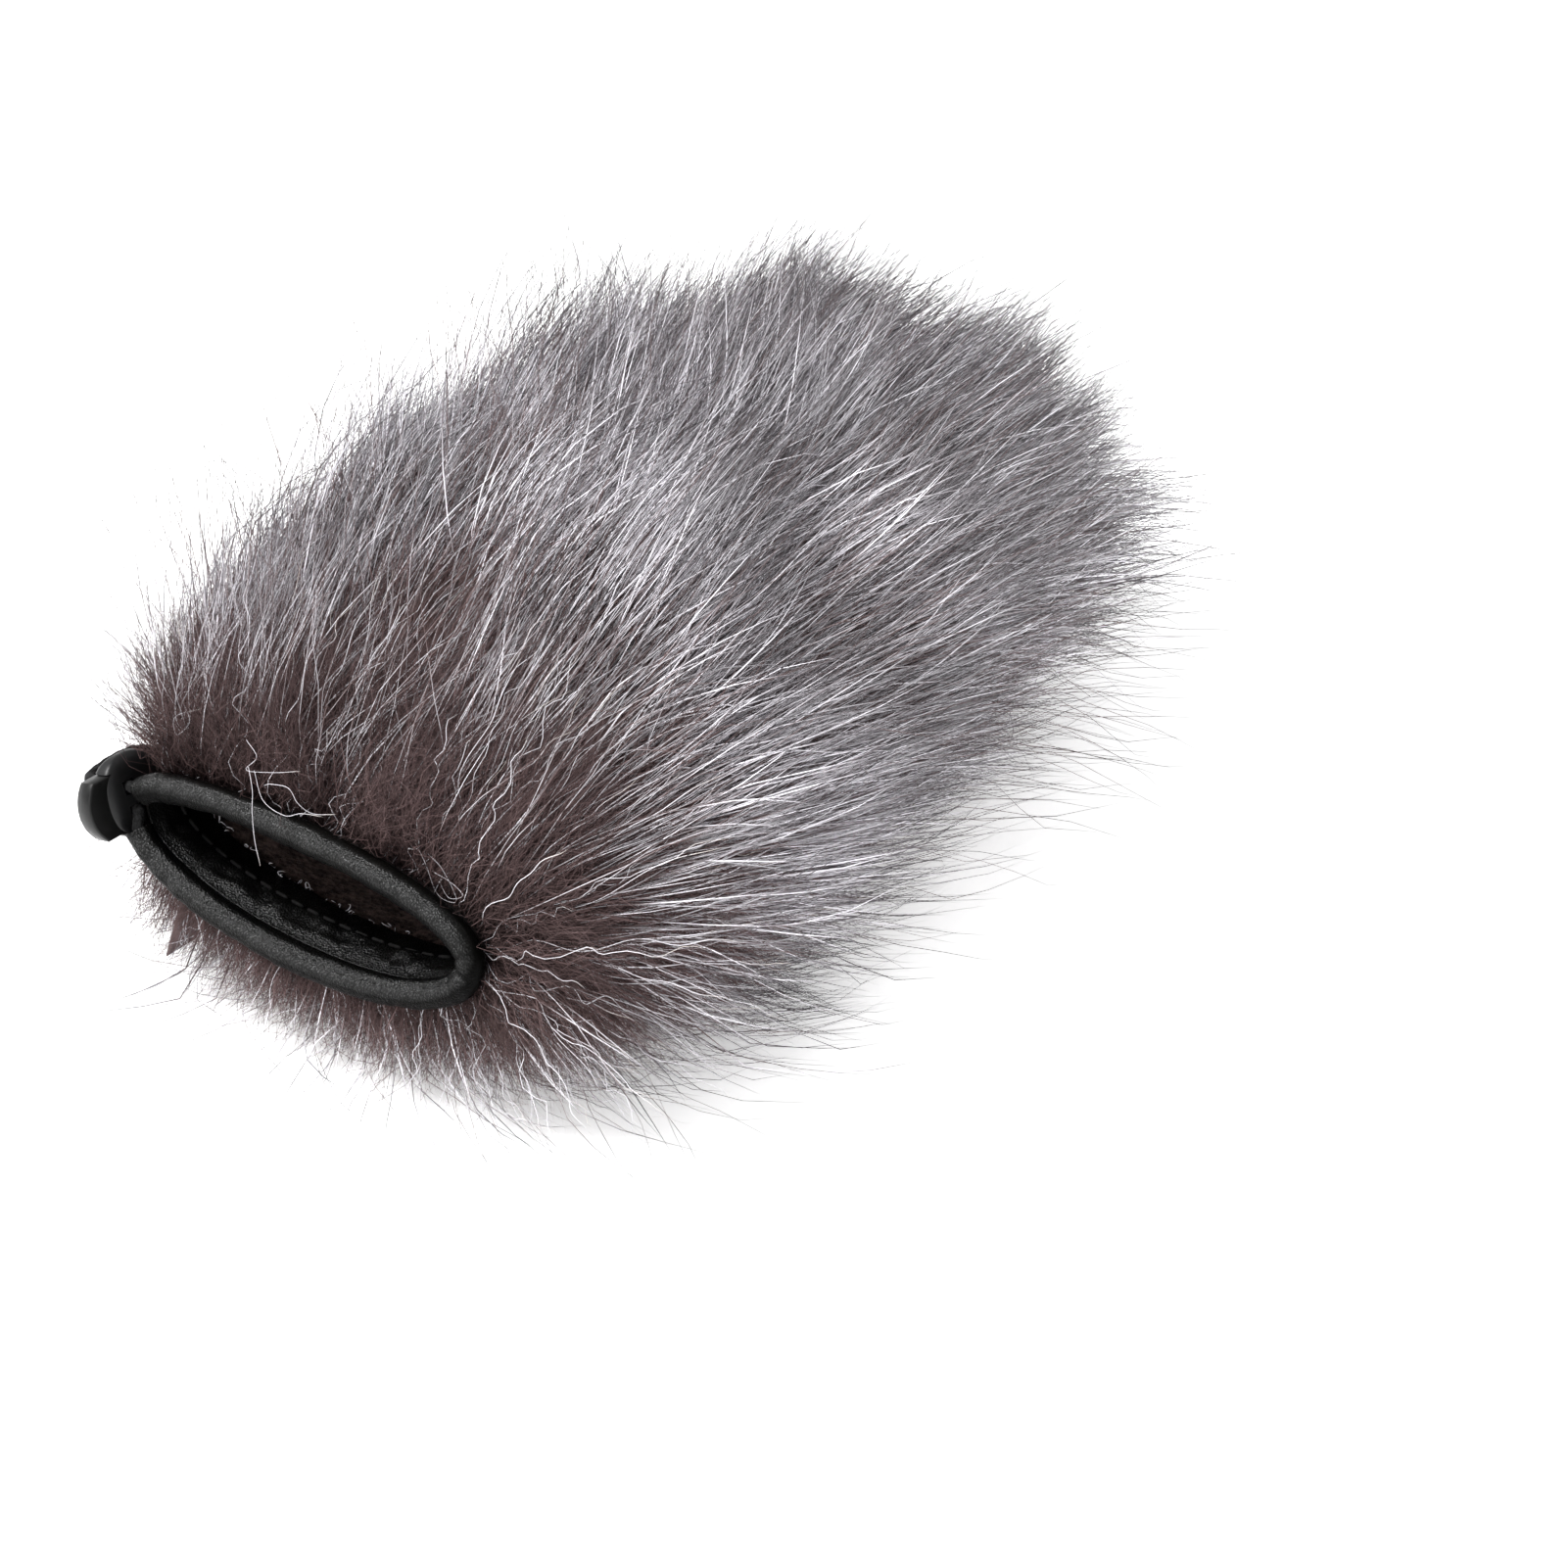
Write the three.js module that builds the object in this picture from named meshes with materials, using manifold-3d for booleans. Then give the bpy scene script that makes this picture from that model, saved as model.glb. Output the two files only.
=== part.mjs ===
// Furry windscreen: a long-pile fur cover for a handheld recorder or microphone.
//
// A knitted backing, sewn from an upper and a lower panel, carries the pile. The mouth is bound with a rolled
// leather edge. An elastic drawcord runs inside the roll, leaves it at one corner, passes through a spring-loaded
// cord lock and ends in a loop that lies on the cover's flank.
//
// Millimetres. +X runs from the mouth to the tip, +Y to the corner with the cord lock, +Z up. The origin is the
// middle of the flat underside that the cover lies on.

import * as THREE from 'three';
import { mergeVertices } from 'three/addons/utils/BufferGeometryUtils.js';
import Module from 'manifold-3d';

const wasm = await Module();
wasm.setup();

// ---------------------------------------------------------------- driving dimensions

const MOUTH_X = -96;            // plane of the mouth, at the roll's centre line
const MOUTH_Z = 29.1;           // height of the mouth's middle
const MOUTH_HALF_WIDTH = 35.2;  // to the roll's centre line
const MOUTH_UP = 9.4;
const MOUTH_DOWN = 10.8;
const MOUTH_SMILE = 1.2;        // the corners stand this much higher than the middle
const MOUTH_LEAN = Math.tan(THREE.MathUtils.degToRad(10));

const SEAM_Z = 31;              // plane of the side seams
const COVER_LENGTH = 152;       // from the mouth to the backing's tip
const COVER_HALF_WIDTH = 43;
const COVER_UP = 25;
const COVER_REAR_RISE = 3;
const COVER_DOWN = 22.5;
const COVER_OPENS_OVER = 55;    // distance in which the mouth widens into the body
const COVER_TIP_START = 88;
const KNIT = 1.2;               // thickness of the knitted backing

const PILE_LENGTH = 194;
const PILE_HALF_WIDTH = 68;
const PILE_UP = 41.7;
const PILE_REAR_RISE = 18;
const PILE_DOWN = 34.6;
const PILE_FLARE = 42;          // distance in which the pile reaches its full depth
const PILE_FLARE_BELOW = 12;

const ROLL_RADIUS = 2.3;
const TUNNEL_RADIUS = 1.6;
const ROLL_GAP_ABOVE = 0.3;     // the roll's ends stand this far round from the corner, in radians
const ROLL_GAP_BELOW = 0.44;
const FACING_START = 2.8;
const FACING_END = 12;
const FACING_THICKNESS = 0.8;
const SEAM_ALLOWANCE = 4;
const SEAM_START = 14;
const THREAD_RADIUS = 0.35;

const CORD_RADIUS = 1;
const CORD_SPACING = 4.2;       // between the two strands in the lock
const LOCK_AT = new THREE.Vector3(MOUTH_X + 1.3, 38.8, 30);
const LOCK_ROLL = THREE.MathUtils.degToRad(-15);
const BARREL_HEIGHT = 13.8;
const BARREL_WIDTH = 5.4;
const BARREL_FRONT = -4.4;
const BARREL_REAR = 7.8;
const PLUNGER_HEIGHT = 10;
const PLUNGER_WIDTH = 3.2;
const PLUNGER_FRONT = -8;
const PLUNGER_REAR = 2.35;
const PLUNGER_TRAVEL = 2.4;
const LOCK_TRAVEL = 2;
const SLIDE_GAP = 0.15;
const GAP = 0.3;                // between pieces that touch

const SIDES = 28;
const STATIONS = 16;

// ---------------------------------------------------------------- helpers

const { lerp, clamp } = THREE.MathUtils;

function smooth(q) {
  const t = clamp(q, 0, 1);
  return t * t * (3 - 2 * t);
}

function flare(q) {
  const t = clamp(q, 0, 1);
  return Math.sqrt(1 - (1 - t) ** 2);
}

// 1 up to start, then falling to 0 at end along a superellipse
function closing(s, start, end, power) {
  const t = clamp((s - start) / (end - start), 0, 1);
  return (1 - t ** power) ** (1 / power);
}

function superellipse(angle, power) {
  const c = Math.cos(angle);
  const d = Math.sin(angle);
  return [Math.sign(c) * Math.abs(c) ** (2 / power), Math.sign(d) * Math.abs(d) ** (2 / power)];
}

function bufferGeometry(positions, index) {
  const geometry = new THREE.BufferGeometry();
  geometry.setAttribute('position', new THREE.Float32BufferAttribute(positions, 3));
  geometry.setIndex(index);
  return geometry;
}

function signedVolume(positions, index) {
  const [a, b, c] = [new THREE.Vector3(), new THREE.Vector3(), new THREE.Vector3()];
  let volume = 0;
  for (let i = 0; i < index.length; i += 3) {
    a.fromArray(positions, 3 * index[i]);
    b.fromArray(positions, 3 * index[i + 1]);
    c.fromArray(positions, 3 * index[i + 2]);
    volume += a.dot(b.cross(c)) / 6;
  }
  return volume;
}

function facingOut(positions, index) {
  if (signedVolume(positions, index) < 0) index.reverse();
  return bufferGeometry(positions, index);
}

function bandIndex(first, second, count) {
  const index = [];
  for (let j = 0; j < count; j++) {
    const k = (j + 1) % count;
    index.push(first + j, second + j, second + k, first + j, second + k, first + k);
  }
  return index;
}

// a closed body through rings of points, with a fan over each end
function loft(rings) {
  const count = rings[0].length;
  const positions = rings.flat().flatMap((p) => p.toArray());
  const index = [];
  for (let i = 0; i + 1 < rings.length; i++) index.push(...bandIndex(i * count, (i + 1) * count, count));
  [0, rings.length - 1].forEach((i) => {
    const middle = new THREE.Vector3();
    rings[i].forEach((p) => middle.addScaledVector(p, 1 / count));
    const centre = positions.length / 3;
    positions.push(...middle.toArray());
    for (let j = 0; j < count; j++) {
      const pair = [i * count + j, i * count + (j + 1) % count];
      if (i > 0) pair.reverse();
      index.push(centre, ...pair);
    }
  });
  return facingOut(positions, index);
}

// a closed ring-shaped body through closed sections
function ringLoft(sections) {
  const count = sections[0].length;
  const positions = sections.flat().flatMap((p) => p.toArray());
  const index = [];
  sections.forEach((_, i) => {
    index.push(...bandIndex(i * count, ((i + 1) % sections.length) * count, count));
  });
  return facingOut(positions, index);
}

function toSolid(geometry) {
  const plain = geometry.clone();
  plain.deleteAttribute('normal');
  plain.deleteAttribute('uv');
  const merged = mergeVertices(plain, 1e-4);
  const mesh = new wasm.Mesh({
    numProp: 3,
    vertProperties: new Float32Array(merged.getAttribute('position').array),
    triVerts: new Uint32Array(merged.index.array),
  });
  return new wasm.Manifold(mesh);
}

function toGeometry(solid) {
  const mesh = solid.getMesh();
  return bufferGeometry(Array.from(mesh.vertProperties), Array.from(mesh.triVerts));
}

function boxSolid(low, high) {
  const box = new THREE.BoxGeometry(high[0] - low[0], high[1] - low[1], high[2] - low[2]);
  box.translate((low[0] + high[0]) / 2, (low[1] + high[1]) / 2, (low[2] + high[2]) / 2);
  return toSolid(box);
}

function roundSection(radius, sides) {
  const shape = new THREE.Shape();
  for (let i = 0; i < sides; i++) {
    const angle = (2 * Math.PI * i) / sides;
    const x = radius * Math.cos(angle);
    const y = radius * Math.sin(angle);
    if (i === 0) shape.moveTo(x, y);
    else shape.lineTo(x, y);
  }
  shape.closePath();
  return shape;
}

function tube(points, radius, sides, steps) {
  const path = new THREE.CatmullRomCurve3(points, false, 'centripetal');
  return new THREE.ExtrudeGeometry(roundSection(radius, sides), { steps, extrudePath: path });
}

// a rectangle with rounded corners, extruded along X: width lies along Y, height along Z
function roundedBar(width, height, corner, front, rear, bevel) {
  const [w, h] = [width / 2 - bevel, height / 2 - bevel];
  const r = Math.max(corner - bevel, 0.2);
  const shape = new THREE.Shape();
  shape.moveTo(-w + r, -h);
  shape.lineTo(w - r, -h);
  shape.absarc(w - r, -h + r, r, -Math.PI / 2, 0);
  shape.lineTo(w, h - r);
  shape.absarc(w - r, h - r, r, 0, Math.PI / 2);
  shape.lineTo(-w + r, h);
  shape.absarc(-w + r, h - r, r, Math.PI / 2, Math.PI);
  shape.lineTo(-w, -h + r);
  shape.absarc(-w + r, -h + r, r, Math.PI, 1.5 * Math.PI);
  const geometry = new THREE.ExtrudeGeometry(shape, {
    depth: rear - front - 2 * bevel,
    bevelEnabled: bevel > 0,
    bevelThickness: bevel,
    bevelSize: bevel,
    bevelSegments: 3,
    curveSegments: 5,
  });
  geometry.rotateX(Math.PI / 2);
  geometry.rotateZ(Math.PI / 2);
  geometry.translate(front + bevel, 0, 0);
  return geometry;
}

function named(name, geometry, colour, roughness) {
  const mesh = new THREE.Mesh(geometry, new THREE.MeshStandardMaterial({ color: colour, roughness, metalness: 0 }));
  mesh.name = name;
  return mesh;
}

// ---------------------------------------------------------------- the cover's form

// s is the distance behind the mouth, angle goes round the cover, grow is outward from the backing's face
function coverPoint(s, angle, grow) {
  const station = Math.max(s, 0);
  const open = smooth(station / COVER_OPENS_OVER);
  const tip = closing(station, COVER_TIP_START, COVER_LENGTH + grow, 2.3);
  const [across, upright] = superellipse(angle, 2.15);
  const wide = (lerp(MOUTH_HALF_WIDTH, COVER_HALF_WIDTH, open) + grow) * tip;
  const rise = COVER_REAR_RISE * smooth((station - COVER_OPENS_OVER) / 50);
  const up = (lerp(MOUTH_UP, COVER_UP, open) + rise + grow) * tip;
  const down = (lerp(MOUTH_DOWN, COVER_DOWN, open) + grow) * tip;
  const middle = lerp(MOUTH_Z, SEAM_Z, open);
  const y = wide * across;
  const smile = MOUTH_SMILE * (1 - open) * (y / MOUTH_HALF_WIDTH) ** 2;
  const z = middle + (upright > 0 ? up : down) * upright + smile;
  const lean = MOUTH_LEAN * (1 - smooth(station / 40));
  return new THREE.Vector3(MOUTH_X + s + lean * (z - MOUTH_Z), y, z);
}

function pilePoint(s, angle) {
  const open = smooth(s / COVER_OPENS_OVER);
  const depth = flare((s - 3) / PILE_FLARE);
  const below = flare((s - 3) / PILE_FLARE_BELOW);
  const [across, upright] = superellipse(angle, 2.4);
  const rim = ROLL_RADIUS + 0.2;
  const wide = lerp(MOUTH_HALF_WIDTH + rim, PILE_HALF_WIDTH, depth) * closing(s, 100, PILE_LENGTH, 2.4);
  const rise = PILE_REAR_RISE * smooth((s - 28) / 92);
  const up = (lerp(MOUTH_UP + rim, PILE_UP, depth) + rise) * closing(s, 115, PILE_LENGTH, 2.2);
  const down = lerp(MOUTH_DOWN + rim, PILE_DOWN, below) * closing(s, 130, PILE_LENGTH, 2.2);
  const middle = lerp(MOUTH_Z, SEAM_Z, open);
  const y = wide * across;
  const z = middle + (upright > 0 ? up : down) * upright;
  const lean = MOUTH_LEAN * (1 - smooth(s / 40));
  const leaned = lean * clamp(z - MOUTH_Z, -MOUTH_DOWN - rim, MOUTH_UP + rim);
  return new THREE.Vector3(MOUTH_X + s + leaned, y, z);
}

function rings(pointAt, start, end) {
  const list = [];
  for (let i = 0; i <= STATIONS; i++) {
    const s = start + (end - start) * (1 - Math.cos((Math.PI * i) / STATIONS)) / 2;
    list.push(Array.from({ length: SIDES }, (_, j) => pointAt(s, (2 * Math.PI * (j + 0.5)) / SIDES)));
  }
  return list;
}

function coverSolid(grow, cutter) {
  const list = rings((s, angle) => coverPoint(s, angle, grow), ROLL_RADIUS + GAP, COVER_LENGTH + grow - 0.3);
  if (cutter) list.unshift(list[0].map((p) => p.clone().setX(p.x - 8)));
  return toSolid(loft(list));
}

const FAR = 400;
const aboveSeam = boxSolid([-FAR, -FAR, SEAM_Z + GAP / 2], [FAR, FAR, FAR]);
const belowSeam = boxSolid([-FAR, -FAR, 0], [FAR, FAR, SEAM_Z - GAP / 2]);

// ---------------------------------------------------------------- knitted backing and its side seam

const backingShell = coverSolid(0, false).subtract(coverSolid(-KNIT, true));
const allowanceRing = coverSolid(-0.75 * KNIT, false).subtract(coverSolid(-KNIT - SEAM_ALLOWANCE, true));

function backingPanel(name, half, allowanceLow, allowanceHigh) {
  const slab = boxSolid([MOUTH_X + SEAM_START, -FAR, allowanceLow], [FAR, FAR, allowanceHigh]);
  const panel = backingShell.intersect(half).add(allowanceRing.intersect(slab));
  return named(name, toGeometry(panel), 0x2a2422, 0.95);
}

const seamTop = SEAM_Z + GAP / 2 + 1;
const backingUpper = backingPanel('backing_upper', aboveSeam, SEAM_Z + GAP / 2, seamTop);
const backingLower = backingPanel('backing_lower', belowSeam, SEAM_Z - GAP / 2 - 1, SEAM_Z - GAP / 2);

function sideSeamThread() {
  const inset = -KNIT - SEAM_ALLOWANCE / 2;
  const last = COVER_LENGTH + inset;
  const side = [];
  for (let i = 0; i <= 14; i++) {
    const s = SEAM_START + 2 + (last - SEAM_START - 2) * Math.sin((Math.PI / 2) * (i / 14));
    const edge = coverPoint(s, 0, inset);
    side.push(new THREE.Vector3(edge.x, edge.y, seamTop + GAP + THREAD_RADIUS));
  }
  const back = side.slice(0, -1).reverse().map((p) => new THREE.Vector3(p.x, -p.y, p.z));
  return named('side_seam_thread', tube([...side, ...back], THREAD_RADIUS, 5, 60), 0x1c1a1a, 0.8);
}

// ---------------------------------------------------------------- pile

const lockClearance = toSolid(
  new THREE.BoxGeometry(60, 60, BARREL_HEIGHT + 3)
    .translate(-10, 24, 0)
    .rotateX(LOCK_ROLL)
    .translate(LOCK_AT.x, LOCK_AT.y, LOCK_AT.z),
);
const pileBody = toSolid(loft(rings(pilePoint, 3, PILE_LENGTH - 0.3)))
  .subtract(coverSolid(GAP, true))
  .subtract(lockClearance);
const pileUpper = named('pile_upper', toGeometry(pileBody.intersect(aboveSeam)), 0x8b8488, 1);
const pileLower = named('pile_lower', toGeometry(pileBody.intersect(belowSeam)), 0x6e6263, 1);

// ---------------------------------------------------------------- mouth

function mouthBinding() {
  const points = [];
  for (let i = 0; i <= 60; i++) {
    points.push(coverPoint(0, lerp(ROLL_GAP_ABOVE, 2 * Math.PI - ROLL_GAP_BELOW, i / 60), 0));
  }
  const section = roundSection(ROLL_RADIUS, 10);
  section.holes.push(roundSection(TUNNEL_RADIUS, 8));
  const path = new THREE.CatmullRomCurve3(points, false, 'centripetal');
  const roll = new THREE.ExtrudeGeometry(section, { steps: 56, extrudePath: path });
  return named('mouth_binding', roll, 0x1b1c1c, 0.55);
}

function mouthFacing() {
  const outer = -KNIT - GAP;
  const inner = outer - FACING_THICKNESS;
  const middle = (FACING_START + FACING_END) / 2;
  const sections = Array.from({ length: SIDES }, (_, j) => {
    const angle = (2 * Math.PI * (j + 0.5)) / SIDES;
    return [
      coverPoint(FACING_START, angle, outer),
      coverPoint(middle, angle, outer - 0.15),
      coverPoint(FACING_END, angle, outer - 0.3),
      coverPoint(FACING_END, angle, inner - 0.3),
      coverPoint(middle, angle, inner - 0.15),
      coverPoint(FACING_START, angle, inner),
    ];
  });
  return named('mouth_facing', ringLoft(sections), 0x1b1c1c, 0.6);
}

function hemStitching() {
  const inset = -KNIT - GAP - FACING_THICKNESS - 0.15 - 0.5 - THREAD_RADIUS;
  const points = [];
  for (let i = 0; i <= 48; i++) {
    points.push(coverPoint(7.4, lerp(0.06, 2 * Math.PI - 0.06, i / 48), inset));
  }
  return named('hem_stitching', tube(points, THREAD_RADIUS, 5, 56), 0x161616, 0.8);
}

// ---------------------------------------------------------------- drawcord

// from the cord lock's own axes (plunger along X, strands along Y) to the cover's
function fromLock(x, y, z) {
  return new THREE.Vector3(x, y, z).applyAxisAngle(new THREE.Vector3(1, 0, 0), LOCK_ROLL).add(LOCK_AT);
}

const HALF_SPACING = CORD_SPACING / 2;
const STRAND_END = BARREL_WIDTH / 2 + LOCK_TRAVEL + 0.4;

function drawcord() {
  const points = [
    fromLock(0, STRAND_END, HALF_SPACING),
    fromLock(0, 0, HALF_SPACING),
    fromLock(0, -BARREL_WIDTH / 2 - 0.2, HALF_SPACING),
  ];
  for (let i = 0; i <= 40; i++) {
    points.push(coverPoint(0, lerp(ROLL_GAP_ABOVE, 2 * Math.PI - ROLL_GAP_BELOW, i / 40), 0));
  }
  points.push(
    fromLock(0, -BARREL_WIDTH / 2 - 0.2, -HALF_SPACING),
    fromLock(0, 0, -HALF_SPACING),
    fromLock(0, STRAND_END, -HALF_SPACING),
  );
  return named('drawcord', tube(points, CORD_RADIUS, 8, 80), 0x141414, 0.85);
}

// the free loop's route, in the lock's axes
const LOOP_ROUTE = [
  [0, STRAND_END + GAP, HALF_SPACING],
  [0.25, 7.2, 2],
  [1.3, 8.7, 1.9],
  [3.2, 9.5, 1.9],
  [5.6, 9.7, 2.1],
  [8.3, 9.4, 2.3],
  [11, 9, 2.1],
  [13.6, 8.6, 1.1],
  [15.3, 8.3, -0.7],
  [15.7, 8.2, -3],
  [14.8, 8.3, -5.2],
  [12.7, 8.6, -6.7],
  [10, 9, -7.1],
  [7.2, 9.4, -6.5],
  [4.8, 9.7, -5.4],
  [2.8, 9.4, -4.3],
  [1.1, 8.6, -3.2],
  [0.25, 7.2, -2.4],
  [0, STRAND_END + GAP, -HALF_SPACING],
];

function drawcordLoop() {
  const points = LOOP_ROUTE.map(([x, y, z]) => fromLock(x, y, z));
  return named('drawcord_loop', tube(points, CORD_RADIUS, 8, 26), 0x141414, 0.85);
}

// ---------------------------------------------------------------- cord lock

const slotHalfHeight = HALF_SPACING + CORD_RADIUS + 0.25;
const slotHalfLength = CORD_RADIUS + SLIDE_GAP;
const PLUNGER_SLOT_FRONT = slotHalfLength - 2 * CORD_RADIUS - 2 * SLIDE_GAP - PLUNGER_TRAVEL;
const SPRING_START = PLUNGER_REAR + GAP;
const POCKET_END = BARREL_REAR - 1.3;

function cordLockBarrel() {
  const shell = toSolid(roundedBar(BARREL_WIDTH, BARREL_HEIGHT, 2.6, BARREL_FRONT, BARREL_REAR, 1));
  const pocket = toSolid(
    roundedBar(PLUNGER_WIDTH + 2 * GAP, PLUNGER_HEIGHT + 2 * GAP, 1.2, BARREL_FRONT - 2, POCKET_END, 0),
  );
  const slot = boxSolid([-slotHalfLength, -20, -slotHalfHeight], [slotHalfLength, 20, slotHalfHeight]);
  return named('cord_lock_barrel', toGeometry(shell.subtract(pocket).subtract(slot)), 0x1a1a1b, 0.38);
}

function cordLockPlunger() {
  const bar = toSolid(
    roundedBar(PLUNGER_WIDTH, PLUNGER_HEIGHT, 0.9, PLUNGER_FRONT, PLUNGER_REAR, 0),
  );
  const domeRadius = 14;
  const dome = new THREE.CylinderGeometry(domeRadius, domeRadius, 20, 72);
  dome.translate(PLUNGER_FRONT + domeRadius, 0, 0);
  const slot = boxSolid([PLUNGER_SLOT_FRONT, -20, -slotHalfHeight], [slotHalfLength, 20, slotHalfHeight]);
  return named('cord_lock_plunger', toGeometry(bar.intersect(toSolid(dome)).subtract(slot)), 0x1a1a1b, 0.38);
}

function cordLockSpring() {
  const [turns, wire, radius] = [3, 0.22, 1.4];
  const [low, high] = [SPRING_START + wire, POCKET_END - GAP - wire];
  const points = [];
  for (let i = 0; i <= 12 * turns; i++) {
    const angle = (2 * Math.PI * i) / 12;
    const x = lerp(low, high, i / (12 * turns));
    points.push(new THREE.Vector3(x, radius * Math.cos(angle), radius * Math.sin(angle)));
  }
  return named('cord_lock_spring', tube(points, wire, 5, 42), 0xb9bcc0, 0.3);
}

// ---------------------------------------------------------------- assembly

const cordLock = new THREE.Group();
cordLock.position.copy(LOCK_AT);
cordLock.rotation.x = LOCK_ROLL;
cordLock.add(cordLockBarrel(), cordLockPlunger(), cordLockSpring());

const windscreen = new THREE.Group();
windscreen.add(
  backingUpper,
  backingLower,
  sideSeamThread(),
  pileUpper,
  pileLower,
  mouthBinding(),
  mouthFacing(),
  hemStitching(),
  drawcord(),
  drawcordLoop(),
  cordLock,
);

export default windscreen;
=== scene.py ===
import math

import bpy
import numpy as np
from mathutils import Matrix, Vector
from mathutils.kdtree import KDTree


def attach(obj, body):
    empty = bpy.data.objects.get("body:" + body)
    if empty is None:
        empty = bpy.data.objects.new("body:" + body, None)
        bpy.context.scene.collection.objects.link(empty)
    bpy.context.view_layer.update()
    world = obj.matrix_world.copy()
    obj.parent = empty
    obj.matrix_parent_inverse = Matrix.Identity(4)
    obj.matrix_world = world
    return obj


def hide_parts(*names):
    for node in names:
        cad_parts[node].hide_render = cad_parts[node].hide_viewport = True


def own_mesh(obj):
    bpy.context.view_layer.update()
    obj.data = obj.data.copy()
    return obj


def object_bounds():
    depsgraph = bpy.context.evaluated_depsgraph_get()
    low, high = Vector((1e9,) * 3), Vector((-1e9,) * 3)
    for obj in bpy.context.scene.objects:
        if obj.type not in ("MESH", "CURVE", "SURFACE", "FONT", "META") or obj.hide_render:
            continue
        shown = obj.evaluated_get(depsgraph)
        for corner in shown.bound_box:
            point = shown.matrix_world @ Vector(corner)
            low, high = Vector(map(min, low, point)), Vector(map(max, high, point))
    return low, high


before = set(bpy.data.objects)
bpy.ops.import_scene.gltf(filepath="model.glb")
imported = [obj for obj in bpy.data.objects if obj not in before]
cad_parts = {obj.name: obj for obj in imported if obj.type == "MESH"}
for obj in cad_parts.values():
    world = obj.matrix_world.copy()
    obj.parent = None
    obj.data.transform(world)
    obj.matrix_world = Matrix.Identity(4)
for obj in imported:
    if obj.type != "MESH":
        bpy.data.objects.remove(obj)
cad_low, cad_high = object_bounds()
MM = 0.001
TAU = 2 * math.pi


def put(name, data):
    obj = bpy.data.objects.new(name, data)
    bpy.context.scene.collection.objects.link(obj)
    return obj


# ---- camera

VIEW_ELEVATION = math.radians(28.82)
VIEW_AZIMUTH = math.radians(38.78)
CAMERA_AT = Vector((-365.1, -282.7, 289.8)) * MM
CAMERA_PAN = 0.0488
CAMERA_TILT = 0.0553
CAMERA_LENS = 69.84


def make_camera():
    """Turned to the two view angles, then panned and tilted a little off them."""
    ce, se = math.cos(VIEW_ELEVATION), math.sin(VIEW_ELEVATION)
    ca, sa = math.cos(VIEW_AZIMUTH), math.sin(VIEW_AZIMUTH)
    ahead = Vector((ce * ca, ce * sa, -se))
    right = Vector((sa, -ca, 0))
    up = right.cross(ahead)
    ahead = (ahead + CAMERA_PAN * right - CAMERA_TILT * up).normalized()
    right = (right - right.dot(ahead) * ahead).normalized()
    up = right.cross(ahead)
    data = bpy.data.cameras.new("camera")
    data.lens = CAMERA_LENS
    data.clip_start = 0.01
    data.clip_end = 20
    camera = put("camera", data)
    turn = Matrix((right, up, -ahead)).transposed().to_4x4()
    camera.matrix_world = Matrix.Translation(CAMERA_AT) @ turn
    bpy.context.scene.camera = camera


make_camera()

# ---- the cover's form, in millimetres

MOUTH_X = -96
MOUTH_Z = 29.1
MOUTH_HALF_WIDTH = 35.2
MOUTH_UP = 9.4
MOUTH_DOWN = 10.8
MOUTH_SMILE = 1.2
MOUTH_LEAN = math.tan(math.radians(10))
SEAM_Z = 31
COVER_LENGTH = 152
COVER_HALF_WIDTH = 43
COVER_UP = 25
COVER_REAR_RISE = 3
COVER_DOWN = 22.5
COVER_OPENS_OVER = 55
COVER_TIP_START = 88
KNIT = 1.2
KNIT_START = 2.6
KNIT_END = COVER_LENGTH - 0.35
PILE_HALF_WIDTH = 68
PILE_UP = 41.7
PILE_REAR_RISE = 15
PILE_DOWN = 34.6
PILE_FLARE = 42
PILE_FLARE_BELOW = 12
PILE_FRONT = 2.5
ROLL_RADIUS = 2.3
TUNNEL_RADIUS = 1.6
ROLL_GAP_ABOVE = 0.34
ROLL_GAP_BELOW = 0.29
SEAM_ALLOWANCE = 4
SEAM_START = 14
THREAD_RADIUS = 0.35
THREAD_WIDTH = 0.6
HEM_AT = 7.4
FACING_START = 2.8
FACING_LIP = 1.2
FACING_END = 12
FACING_THICKNESS = 0.8
GAP = 0.3
CORD_RADIUS = 1.0
HALF_SPACING = 2.1
LOCK_AT = np.array([MOUTH_X + 1.3, 38.8, 30])
LOCK_ROLL = math.radians(-15)
BARREL_WIDTH = 5.4
BARREL_HEIGHT = 13.8
BARREL_FRONT = -4.5
BARREL_REAR = 7.8
BARREL_CENTRE = (BARREL_REAR + BARREL_FRONT) / 2
PLUNGER_WIDTH = 3.2
PLUNGER_HEIGHT = 10
PLUNGER_FRONT = -8
PLUNGER_REAR = 2.35
PLUNGER_TRAVEL = 2.4
LOCK_TRAVEL = 2
SLIDE_GAP = 0.15
BORE = CORD_RADIUS + SLIDE_GAP
STRAND_END = BARREL_WIDTH / 2 + LOCK_TRAVEL + 0.4
POCKET_END = BARREL_REAR - 1.3


def smooth(q):
    t = np.clip(q, 0, 1)
    return t * t * (3 - 2 * t)


def flare(q):
    t = np.clip(q, 0, 1)
    return np.sqrt(1 - (1 - t) ** 2)


def lerp(a, b, t):
    return a + (b - a) * t


def unit(v):
    return v / (np.linalg.norm(v, axis=-1, keepdims=True) + 1e-12)


def without(v, along):
    """The part of v across the unit vector along."""
    return v - (v * along).sum(axis=-1, keepdims=True) * along


def turns(count):
    """Even angles round a full turn."""
    return TAU * np.arange(count) / count


def bell(q, middle, width):
    return np.exp(-(((q - middle) / width) ** 2))


def closing(s, start, end, power):
    t = np.clip((s - start) / (end - start), 0, 1)
    return (1 - t**power) ** (1 / power)


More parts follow.
